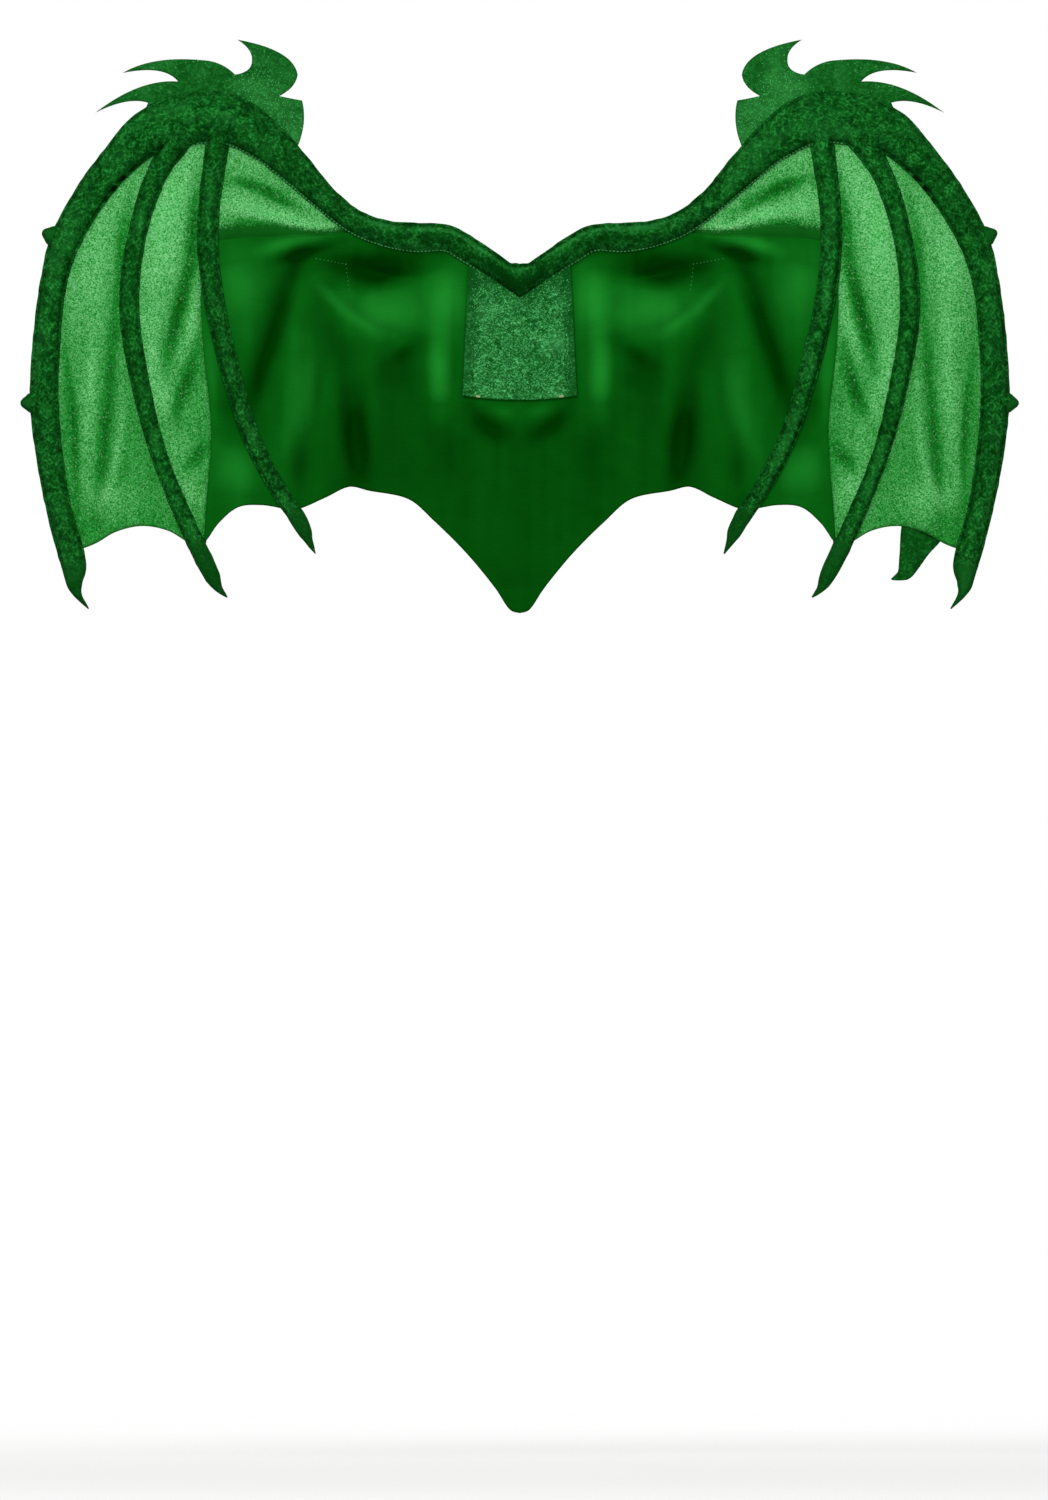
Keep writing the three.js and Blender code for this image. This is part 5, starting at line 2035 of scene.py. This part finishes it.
@dataclass
class Seams:
    """The lines that the cloths share."""

    plan: Plan
    overlap: float = 0.0022

    @cached_property
    def hem(self) -> Line:
        """Z of the hem for x."""
        return reader(self.plan.line(HEM), 0)

    @cached_property
    def satin_top(self) -> Line:
        """Z of the satin's top edge for x."""
        return reader(self.plan.line(SATIN_TOP), 0)

    @cached_property
    def corner(self) -> Array:
        """Where the satin's top edge meets its side."""
        return self.plan.place(SATIN_SIDE[:1])[0]

    @cached_property
    def foot(self) -> Array:
        """Where the satin's side meets the hem."""
        return self.plan.place(SATIN_SIDE[-1:])[0]

    def arm_line(self, start: float, end: float) -> Array:
        """The cloths' line under the arm, between shares of its length."""
        return self.plan.arm.at(np.linspace(start, end, 300), self.plan.cloth_reach)

    def at_arm(self, mark: str) -> Array:
        """Where the cloths' line under the arm passes a mark."""
        return self.plan.arm.at(self.plan.mark(mark), self.plan.cloth_reach)

    @cached_property
    def under_arm(self) -> Line:
        """Z of the cloths' upper edge for x, as far as the shoulder."""
        return reader(self.arm_line(0, self.plan.mark("shoulder")), 0)

    @cached_property
    def beside_arm(self) -> Line:
        """X of the cloths' outer edge for z, below the shoulder."""
        return reader(self.arm_line(self.plan.mark("shoulder"), self.plan.mark("hem")), 1)

    def outer_hem(self, x: Array) -> Array:
        """Z of the outer web's hem, which ends at the arm."""
        end = self.at_arm("hem")
        return mix(self.hem(x), end[1], smoothstep(x, end[0] - 0.02, end[0]))

    @cached_property
    def seam(self) -> Line:
        """X of the seam between satin and web for z.

        Returns:
            The seam's line.
        """
        finger = self.plan.inner_finger.centre
        upper = finger[finger[:, 1] > self.corner[1]]
        return reader(np.vstack([self.at_arm("inner finger"), upper, self.plan.line(SATIN_SIDE)]), 1)

    def lapped_seam(self, z: Array) -> Array:
        """X of the middle web's inner edge, which lies behind the satin below its corner."""
        return self.seam(z) - self.overlap * smoothstep(self.corner[1] - z, -0.002, 0.004)

    @cached_property
    def middle(self) -> Line:
        """X of the middle finger's line for z."""
        return reader(np.vstack([self.at_arm("middle finger"), self.plan.middle_finger.centre]), 1)

    @cached_property
    def middle_foot(self) -> Array:
        """Where the middle finger crosses the hem.

        Returns:
            X and z of the place.
        """
        z = self.foot[1]
        for _ in range(10):
            z = float(self.hem(self.middle(z)))
        return np.array([float(self.middle(z)), z])

    @cached_property
    def gusset_end(self) -> Array:
        """The gusset's inner corner, at the satin's top edge."""
        x = self.at_arm("gusset end")[0]
        return np.array([x, float(self.satin_top(x))])

    def lapped_top(self, x: Array) -> Array:
        """Z of the gusset's lower edge, which lies behind the satin between its corners.

        Args:
            x: Places along it.

        Returns:
            Its height there.
        """
        gap, start, end = self.plan.seam_gap / 2, self.gusset_end[0], self.corner[0]
        reach = smoothstep(x, start, start + 0.02) * smoothstep(end - x, -0.001, 0.006)
        return self.satin_top(x) + gap - (self.overlap + gap) * reach

    def gusset_grain(self, points: Array) -> Array:
        """How grainy the gusset is: it turns smooth above its foot, less so at its inner corner.

        Args:
            points: X and z in the last axis.

        Returns:
            The grain mark, from 0 to 1.
        """
        above = points[..., 1] - self.satin_top(points[..., 0])
        out = smoothstep(points[..., 0] / self.plan.half_span, 0.40, 0.52)
        return smoothstep(above, mix(0.000, 0.004, out), mix(0.010, 0.019, out))


@dataclass
class Drape:
    """The satin that hangs across the back."""

    plan: Plan
    wardrobe: Wardrobe
    sewing: Sewing
    thickness: float = 0.0011
    hem_extra: float = 0.0005
    stitch_corners: tuple[Spot, ...] = (Spot(0.4155, 0.1275), Spot(0.3550, 0.1170), Spot(0.3490, 0.0690))

    def spots(self, seams: Seams) -> Array:
        """Its grid.

        Args:
            seams: The cloths' lines.

        Returns:
            Rows by columns by x and z.
        """
        gap, end = self.plan.seam_gap / 2, seams.gusset_end[0]
        under_arm = seams.arm_line(0, self.plan.mark("gusset end")) - [0, 0.0004]
        edge = self.plan.line(SATIN_TOP) - [0, gap]
        top = reader(np.vstack([under_arm[under_arm[:, 0] < end - 0.008], edge[edge[:, 0] > end]]), 0)
        low, high = seams.foot[1], seams.corner[1] - gap
        return patch(
            (lambda z: gap / 2 - seams.seam(z), lambda z: seams.seam(z) - gap / 2),
            lambda x: seams.hem(np.abs(x)), lambda x: top(np.abs(x)),
            low=(low, low), high=(high, high), steps=(300, 132),
        )

    def build(self) -> None:
        """Builds the drape and its stitching."""
        seams = Seams(self.plan)
        spots = self.spots(seams)
        to_hem = spots[..., 1] - seams.hem(np.abs(spots[..., 0]))
        thickness = self.thickness + self.hem_extra * smoothstep(HEM_WIDTH - to_hem, 0, HEM_SOFT)
        # The satin's lightness mark holds its painted light and shade over the folds
        marks = {"tone": satin_tone(self.plan, spots), "edge": smoothstep(HEM_EDGE - to_hem, 0, HEM_SOFT)}
        depth = self.plan.depth(spots)
        piece, cut = cloth("drape", spots, depth, thickness, self.wardrobe.material(SATIN), marks)
        finished(piece, Slot.SATIN, "drape")
        sizes = {"length": 0.0016, "width": 0.0005, "rise": 0.0004}
        sewn = self.sewing.sew("drape_stitches", self.stitch_lines(), PALE_THREAD, 7, Slot.SATIN, **sizes)
        cut.declare(piece, "gathered", "arm_right arm_left", [sewn])

    def stitch_lines(self) -> list[Array]:
        """The short corner of stitching under each arm.

        Returns:
            Rows of x, y and z for each line.
        """
        corners = self.plan.place(self.stitch_corners)
        lines = []
        for side, (a, b) in itertools.product(Side, itertools.pairwise(corners)):
            line = mix(a, b, np.linspace(0, 1, 30)[:, None]) * [side.value, 1]
            lines.append(xyz(line[:, 0], self.plan.depth(line) - self.thickness / 2 - 0.0001, line[:, 1]))
        return lines


@dataclass
class BackPanel:
    """The crushed velvet panel over the middle, with its turned edge and two bar tacks."""

    plan: Plan
    wardrobe: Wardrobe
    sewing: Sewing
    glitter: Glitter
    thickness: float = 0.0016
    top_half: float = 0.046
    bow: float = 0.004
    margin: float = 0.0085
    tack_at: float = 0.0375
    tack_half: float = 0.0014

    @property
    def seat(self) -> float:
        """How far in front of the cloth's middle surface the panel lies."""
        return (self.plan.cloth + self.thickness) / 2 + self.plan.seat_gap

    def under_arms(self, x: Array | float) -> Array:
        """Z of the arms' lower edge, with the panel's top tucked a little under it."""
        return reader(self.plan.arm.beside(-1)[:120], 0)(np.abs(x)) + 0.0015

    def spots(self, columns: int, rows: int) -> Array:
        """The panel's grid.

        Args:
            columns: Steps across.
            rows: Steps up.

        Returns:
            Rows by columns by x and z.
        """
        foot, top = self.plan.panel_half, self.top_half
        low, high = self.bow - self.plan.panel_drop, float(self.under_arms(top))
        ends = np.array([foot, top])
        return patch(
            tuple(lambda z, sign=sign: np.interp(z, (low, high), sign * ends) for sign in (-1, 1)),
            lambda x: low - self.bow + self.bow * (x / foot) ** 2, self.under_arms,
            low=(low, low), high=(high, high), steps=(columns, rows),
        )

    def build(self) -> None:
        """Builds the panel and what is sewn on it."""
        spots = self.spots(96, 104)
        x, z = spots[..., 0], spots[..., 1]
        rows, columns = x.shape
        u, v = np.meshgrid(np.linspace(0, 1, columns), np.linspace(0, 1, rows))
        to_side = np.minimum(u, 1 - u) * np.ptp(x[0])
        inset = np.minimum(to_side, v * np.ptp(z[:, columns // 2]))
        places = xyz(x, 0, z)
        upper = smoothstep(z, -0.01, 0.03)
        depth = self.plan.depth(spots, folded=False) - self.seat
        depth -= 0.0007 * smoothstep(inset, self.margin - 0.001, self.margin + 0.003)
        depth += 0.0004 * bell(inset - self.margin, 0.0009) + 0.0006 * bell(x, 0.0016) * upper
        depth -= 0.0004 * bumps(places, 0.011, 21) + 0.0003 * bumps(places, 0.005, 22)
        depth -= 0.0004 * bumps(places, 0.004, 23) * bell(inset - self.margin, 0.003)
        # Painted shade below the arms and along the middle crease; darker along the turned edge, with random
        # mottle
        shade = 0.42 * bell(np.maximum(0.032 + 0.45 * np.abs(x) - z, 0), 0.014)
        ragged = to_side + 0.003 * bumps(places, 0.009, 25)
        band = 0.34 * (1 - smoothstep(ragged, self.margin - 0.002, self.margin + 0.003))
        tone = 0.5 - shade - band - 0.10 * bell(x, 0.0022) * upper + 0.09 * bumps(places, 0.016, 24)
        edge = np.maximum(smoothstep(0.0012 - inset, 0, 0.0012), 0.2 * bell(inset - self.margin, 0.0006))
        flecks = np.concatenate([smoothstep(inset, 0.001, self.margin), 0 * inset])
        marks = {"tone": tone, "edge": edge, "flecks": flecks}
        thickness = np.full(x.shape, self.thickness)
        velvet = self.wardrobe.material(PANEL_VELVET)
        piece, cut = cloth("back_panel", spots, depth, thickness, velvet, marks)
        finished(piece, Slot.GLITTER, "back_panel")
        sewn = [self.sew_edge(spots), self.sew_tacks()]
        sewn.append(self.glitter.strew("panel_glitter", piece, Slot.GLITTER, seed=4))
        cut.declare(piece, "laid", "drape", sewn)

    def in_front(self, spots: Array, lift: float) -> Array:
        """Places spots just in front of the panel."""
        depth = self.plan.depth(spots, folded=False) - self.seat - self.thickness / 2 - lift
        return xyz(spots[..., 0], depth, spots[..., 1])

    def sew_edge(self, spots: Array) -> Piece:
        """Sews the turned edge down.

        Args:
            spots: The panel's grid.

        Returns:
            The stitching.
        """
        last = spots.shape[1] - 1
        first = round(self.margin / self.plan.panel_half / 2 * last)
        up = round(self.margin / (2 * self.plan.panel_drop) * len(spots)) + 1
        lines = (spots[up:, first], spots[up:, last - first], spots[up, first : last - first + 1])
        lines = [self.in_front(line, -0.0001) for line in lines]
        name = "panel_stitches"
        return self.sewing.sew(name, lines, PANEL_THREAD, 8, Slot.GLITTER, length=0.0022, pitch=0.0032)

    def sew_tacks(self) -> Piece:
        """Sews the two cream bar tacks on the lower edge.

        Returns:
            The stitching.
        """
        lines = []
        for side, row in itertools.product(Side, range(1, 4)):
            x = (self.tack_at + self.tack_half * np.linspace(-1, 1, 12)) * side.value
            z = self.bow * (x / self.plan.panel_half) ** 2 - self.plan.panel_drop + 0.0006 * row
            lines.append(self.in_front(pairs(x, z), 0.0001))
        sizes = {"length": 0.0014, "pitch": 0.0009, "width": 0.0007, "rise": 0.0007}
        return self.sewing.sew("panel_tacks", lines, CREAM_THREAD, 9, Slot.GLITTER, **sizes)


@dataclass
class Plate:
    """A piece cut from one thickness of velvet, with soft edges, that follows the cloth."""

    plan: Plan
    outline: Array
    thickness: float
    spacing: float = 0.0032
    soft_edge: float = 0.0016

    def inside(self, points: Array) -> Array:
        """Which points lie inside the outline.

        Args:
            points: Rows of x and z.

        Returns:
            True for those inside.
        """
        result = np.zeros(len(points), bool)
        x, z = points.T
        for (ax, az), (bx, bz) in zip(self.outline, np.roll(self.outline, -1, axis=0)):
            crosses = (az > z) != (bz > z)
            with np.errstate(divide="ignore", invalid="ignore"):
                result ^= crosses & (x < (bx - ax) * (z - az) / (bz - az) + ax)
        return result

    def edge_distance(self, points: Array) -> Array:
        """Distance from the outline."""
        return nearest_on_line(points, np.vstack([self.outline, self.outline[:1]]))[0]

    def triangles(self) -> tuple[Array, Array]:
        """Fills the outline with even triangles.

        Returns:
            Rows of x and z, and corner numbers.
        """
        low, high = self.outline.min(0), self.outline.max(0)
        step = self.spacing
        columns = np.arange(low[0], high[0], step)
        rows = np.arange(low[1], high[1], step * math.sqrt(0.75))
        grid = np.array([(x + step / 2 * (k % 2), z) for k, z in enumerate(rows) for x in columns])
        grid = grid[self.inside(grid)]
        grid = grid[self.edge_distance(grid) > self.soft_edge + step * 0.4]
        rims = [self.inset_ring(inset) for inset in (self.soft_edge * 0.35, self.soft_edge)]
        points = np.vstack([self.outline, *rims, grid])
        ring = list(range(len(self.outline)))
        edges = list(zip(ring, ring[1:] + ring[:1]))
        made = delaunay_2d_cdt([Vector(p) for p in points], edges, [ring], 1, 1e-7)
        return np.array([tuple(p) for p in made[0]]), np.array(made[2])

    def inset_ring(self, inset: float) -> Array:
        """Points a little inside the outline.

        Args:
            inset: Distance from it.

        Returns:
            Those that lie clear of every edge.
        """
        after, before = np.roll(self.outline, -1, axis=0), np.roll(self.outline, 1, axis=0)
        along = (after - before) / (np.linalg.norm(after - before, axis=1)[:, None] + 1e-12)
        area = (self.outline[:, 0] * after[:, 1] - after[:, 0] * self.outline[:, 1]).sum()
        ring = self.outline + pairs(-along[:, 1], along[:, 0]) * math.copysign(inset, area)
        return ring[self.inside(ring) & (self.edge_distance(ring) > inset * 0.9)]

    def build(
        self,
        name: str,
        side: Side,
        behind: Line,
        material: Material,
        marks: Callable[[Array, Array], dict[str, Array]],
    ) -> tuple[Piece, Cut]:
        """Builds the piece.

        Args:
            name: Its name.
            side: Its wing.
            behind: Y of its middle surface for points of the right wing.
            material: Its finish.
            marks: Numbers for the mesh from points and their distance from the edge.

        Returns:
            The object and the size that it was cut to.
        """
        spots, corners = self.triangles()
        inset = self.edge_distance(spots)
        softened = np.sqrt(1 - (1 - np.clip(inset / self.soft_edge, 0, 1)) ** 2)
        half = self.thickness * (0.3 + 0.7 * softened) / 2
        x, middle, z = spots[:, 0] * side.value, behind(spots), spots[:, 1]
        vertices = np.concatenate([xyz(x, middle - half, z), xyz(x, middle + half, z)])
        a, b, c = (spots[corners[:, k]] for k in range(3))
        first, second = b - a, c - a
        signed = first[:, 0] * second[:, 1] - second[:, 0] * first[:, 1]
        corners = np.where((signed < 0)[:, None], corners[:, ::-1], corners)
        border = {(p, q) for ring in corners.tolist() for p, q in zip(ring, ring[1:] + ring[:1])}
        rim = np.array([(p, q) for p, q in border if (q, p) not in border])
        p, q = rim[np.lexsort(rim.T)].T
        count = len(spots)
        sides = [np.stack([q, p, p + count], axis=1), np.stack([q, p + count, q + count], axis=1)]
        faces = turned_outward(vertices, np.concatenate([corners, corners[:, ::-1] + count, *sides]))
        width, length = np.ptp(self.outline, axis=0).tolist()
        piece = mesh_object(name, vertices, faces, material, marks(spots, inset))
        return piece, Cut(width, length, float(np.abs(signed).sum() / 2))


@dataclass
class Crest:
    """The flames of velvet behind the wrist."""

    plan: Plan
    wardrobe: Wardrobe
    glitter: Glitter
    side: Side
    thickness: float = 0.003
    flame_steps: int = 14
    flutter: float = 0.0035
    lit_from: Spot = Spot(0.455, 0.370)
    lit_to: Spot = Spot(0.545, 0.455)

    @cached_property
    def outline(self) -> Array:
        """The crest's edge, from its inner end over the flames and back under the arm.

        Returns:
            Rows of x and z.
        """
        inner, outer = self.plan.mark("crest inner end"), self.plan.mark("crest outer end")
        points = [self.plan.arm.at(inner, self.plan.crest_start)]
        for flame in FLAMES:
            via, end = self.plan.place([Spot(flame.via_out, flame.via_up), Spot(flame.out, flame.up)])
            points += list(curve_points(points[-1], via, end, self.flame_steps)[1:])
        foot = self.plan.arm.at(np.linspace(outer, inner, 50)[1:-1], self.plan.crest_start - 0.12)
        return np.vstack([points, foot])

    def behind(self, spots: Array) -> Array:
        """Y of its middle surface, which flutters away from the arm.

        Args:
            spots: Rows of x and z on the right wing.

        Returns:
            The depth at each place.
        """
        places = xyz(spots[:, 0] * self.side.value, 0, spots[:, 1])
        waves = self.flutter * bumps(places, 0.045, 41) + 0.0005 * bumps(places, 0.009, 42)
        waves *= smoothstep(-self.plan.arm.inset(spots)[0], 0, 0.04)
        return self.plan.depth(spots, folded=False) + (self.thickness - self.plan.cloth) / 2 + waves

    def marks(self, spots: Array, inset: Array) -> dict[str, Array]:
        """Its lightness, its edge and where its glitter lies.

        Args:
            spots: Rows of x and z on the right wing.
            inset: Their distance from its edge.

        Returns:
            Numbers for the mesh by name.
        """
        near = bell(nearest_on_line(spots, self.plan.place([self.lit_from, self.lit_to]))[0], 0.017)
        places = xyz(spots[:, 0] * self.side.value, 0, spots[:, 1])
        return {
            "tone": 0.5 + 0.18 * near + 0.10 * bumps(places, 0.012, 43),
            "edge": smoothstep(0.0010 - inset, 0, 0.0010),
            "claw": 0.5 * (1 - near),
            "flecks": near + np.clip(0.12 + 0.10 * bumps(places, 0.03, 44), 0, 1),
        }

    def build(self) -> None:
        """Builds the crest."""
        name = f"crest_{self.side.word}"
        plate = Plate(self.plan, self.outline, self.thickness)
        velvet = self.wardrobe.material(CREST_VELVET)
        piece, cut = plate.build(name, self.side, self.behind, velvet, self.marks)
        finished(piece, Slot.VELVET, name)
        strewn = self.glitter.strew(f"crest_glitter_{self.side.word}", piece, Slot.VELVET, seed=3)
        cut.declare(piece, "hung", f"arm_{self.side.word}", [strewn])


@dataclass
class LooseClaw:
    """The claw of velvet that hangs loose behind the right wing's hem."""

    plan: Plan
    wardrobe: Wardrobe
    thickness: float = 0.003

    def behind(self, spots: Array) -> Array:
        """Y of its middle surface, behind the web."""
        gap = (self.plan.cloth + self.thickness) / 2 + self.plan.seat_gap
        return self.plan.depth(spots, folded=False) + gap

    def marks(self, spots: Array, inset: Array) -> dict[str, Array]:
        """Numbers for its mesh."""
        half = np.full(len(spots), 0.5)
        return {"tone": half, "edge": smoothstep(0.001 - inset, 0, 0.001), "claw": half + 0.2}

    def build(self) -> None:
        """Builds the claw."""
        corners = self.plan.place(LOOSE_CLAW)
        closed = np.vstack([corners[-1:], corners, corners[:2]])
        places = np.linspace(1, len(corners) + 1, 8 * len(corners) + 1)[:-1]
        smooth = smooth_curve(closed, places / (len(closed) - 1))
        straight = np.stack([np.interp(places, np.arange(len(closed)), line) for line in closed.T], axis=1)
        plate = Plate(self.plan, mix(straight, smooth, 0.7), self.thickness, spacing=0.0024)
        velvet = self.wardrobe.material(FLAT_VELVET)
        piece, cut = plate.build("loose_claw", Side.RIGHT, self.behind, velvet, self.marks)
        finished(piece, Slot.VELVET, "loose_claw")
        cut.declare(piece, "hung", "outer_web_right")


@dataclass
class FasteningPatch:
    """The hook patch on the wearer's side."""

    plan: Plan
    wardrobe: Wardrobe
    sewing: Sewing
    corner: float = 0.008
    border: float = 0.005
    hook_pitch: float = 0.002
    hook_rise: float = 0.0006

    def marks(self, spots: Array, inset: Array) -> dict[str, Array]:
        """Numbers for its mesh."""
        return {"edge": smoothstep(0.001 - inset, 0, 0.001)}

    def build(self) -> None:
        """Builds the patch and its hooks."""
        low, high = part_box("fastening_patch")
        face = high.y - self.hook_rise
        turns = np.linspace(0, math.pi / 2, 9)
        outline = []
        for quarter, (sx, sz) in enumerate(((1, 1), (-1, 1), (-1, -1), (1, -1))):
            angle = turns + quarter * math.pi / 2
            middle = np.array([sx * (high.x - self.corner), sz * (high.z - self.corner)])
            outline.append(middle + self.corner * pairs(np.cos(angle), np.sin(angle)))
        plate = Plate(self.plan, np.concatenate(outline), face - low.y, spacing=0.004, soft_edge=0.001)
        tape = self.wardrobe.material(HOOK_TAPE)
        name, middle = "fastening_patch", (low.y + face) / 2
        piece, cut = plate.build(name, Side.RIGHT, lambda spots: 0 * spots[:, 0] + middle, tape, self.marks)
        finished(piece, Slot.HOOK_TAPE, name)
        cut.declare(piece, "laid", "drape")
        half_w, half_h = high.x - self.border, high.z - self.border
        x = np.linspace(-half_w, half_w, 60)
        lines = [xyz(x, face, z) for z in np.arange(-half_h, half_h, self.hook_pitch)]
        sizes = {"pitch": self.hook_pitch, "length": 0.0007, "width": 0.0005, "rise": 0.0011}
        self.sewing.sew("hooks", lines, HOOK_WIRE, 12, Slot.HOOK_TAPE, **sizes)


@dataclass
class Studio:
    """The camera, the floor and the soft light."""

    plan: Plan
    pixel: float = 0.0009
    middle_px: tuple[float, float] = (519.7, 325.0)
    image_px: tuple[int, int] = (1048, 1500)
    distance: float = 24.0
    sensor: float = 0.036
    floor_drop: float = 1.035
    floor_radius: float = 2.7

    def build(self) -> None:
        """Builds everything that isn't part of the wings."""
        self.add_camera()
        self.add_floor()
        self.add_lights()
        self.add_world()
        bpy.context.scene.view_settings.view_transform = "Standard"

    def add_camera(self) -> None:
        """Sets the camera level, square to the wings."""
        camera = bpy.data.cameras.new("camera")
        width, height = self.image_px
        camera.sensor_width = self.sensor * 1000
        camera.lens = camera.sensor_width * self.distance / (height * self.pixel)
        camera.clip_end = 60
        holder = in_scene("camera", camera)
        x = (width / 2 - self.middle_px[0]) * self.pixel
        z = (self.middle_px[1] - height / 2) * self.pixel
        holder.location = (x, -0.5 * self.plan.sweep - self.distance, z)
        holder.rotation_euler = (math.pi / 2, 0, 0)
        bpy.context.scene.camera = holder

    def add_floor(self) -> None:
        """Lays a pale floor that fades into the white round it and is unseen from below."""
        material = bpy.data.materials.new("floor")
        build = emptied(material)
        far = build.add("ShaderNodeVectorMath", {0: build.place}, operation="LENGTH").outputs["Value"]
        below = build.add("ShaderNodeNewGeometry").outputs["Backfacing"]
        hidden = build.math("MAXIMUM", build.remap(far, 0.3, 2.2), below)
        matt = build.out("ShaderNodeBsdfDiffuse", {"Color": colour(0.93, 0.93, 0.92)})
        clear = build.out("ShaderNodeBsdfTransparent", {})
        both = build.out("ShaderNodeMixShader", {0: hidden, 1: matt, 2: clear})
        build.add("ShaderNodeOutputMaterial", {"Surface": both})
        turns = np.linspace(0, 2 * math.pi, 65)[:-1]
        ring = self.floor_radius * xyz(np.cos(turns), np.sin(turns), 0)
        floor = mesh_object("floor", ring, [list(range(64))], material)
        floor.location.z = -self.floor_drop

    def add_lights(self) -> None:
        """Hangs a large key light, a fill and a light behind the webs."""
        for name, place, size, power in (
            ("key", (-0.9, -2.6, 2.2), 1.4, 70.0),
            ("fill", (1.8, -2.8, 0.4), 2.4, 20.0),
            ("behind", (0.0, 2.2, 0.8), 2.2, 34.0),
        ):
            light = bpy.data.lights.new(name, "AREA")
            light.size = size
            light.energy = power
            holder = in_scene(name, light)
            holder.location = place
            aim = Vector((0, 0, -0.05)) - holder.location
            holder.rotation_euler = aim.to_track_quat("-Z", "Y").to_euler()

    def add_world(self) -> None:
        """Makes the surround white to the camera and a soft grey light to the wings."""
        world = bpy.data.worlds.new("studio")
        build = emptied(world)
        seen = build.add("ShaderNodeLightPath").outputs["Is Camera Ray"]
        soft, white = (
            build.out("ShaderNodeBackground", {"Color": colour(1, 1, 1), "Strength": strength})
            for strength in (0.42, 1.0)
        )
        both = build.out("ShaderNodeMixShader", {0: seen, 1: soft, 2: white})
        build.add("ShaderNodeOutputWorld", {"Surface": both})
        bpy.context.scene.world = world


def main() -> None:
    """Dresses the wings piece by piece."""
    logging.basicConfig(level=logging.INFO, format="%(message)s", stream=sys.stdout)
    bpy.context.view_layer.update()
    plan = Plan()
    wardrobe = Wardrobe()
    sewing = Sewing(wardrobe)
    glitter = Glitter(wardrobe)
    Studio(plan).build()
    for side in Side:
        wing = Wing(plan, wardrobe, sewing, side)
        wing.build_ribs()
        wing.build_webs()
        Crest(plan, wardrobe, glitter, side).build()
    Drape(plan, wardrobe, sewing).build()
    BackPanel(plan, wardrobe, sewing, glitter).build()
    LooseClaw(plan, wardrobe).build()
    FasteningPatch(plan, wardrobe, sewing).build()
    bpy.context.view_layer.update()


if __name__ == "__main__":
    main()
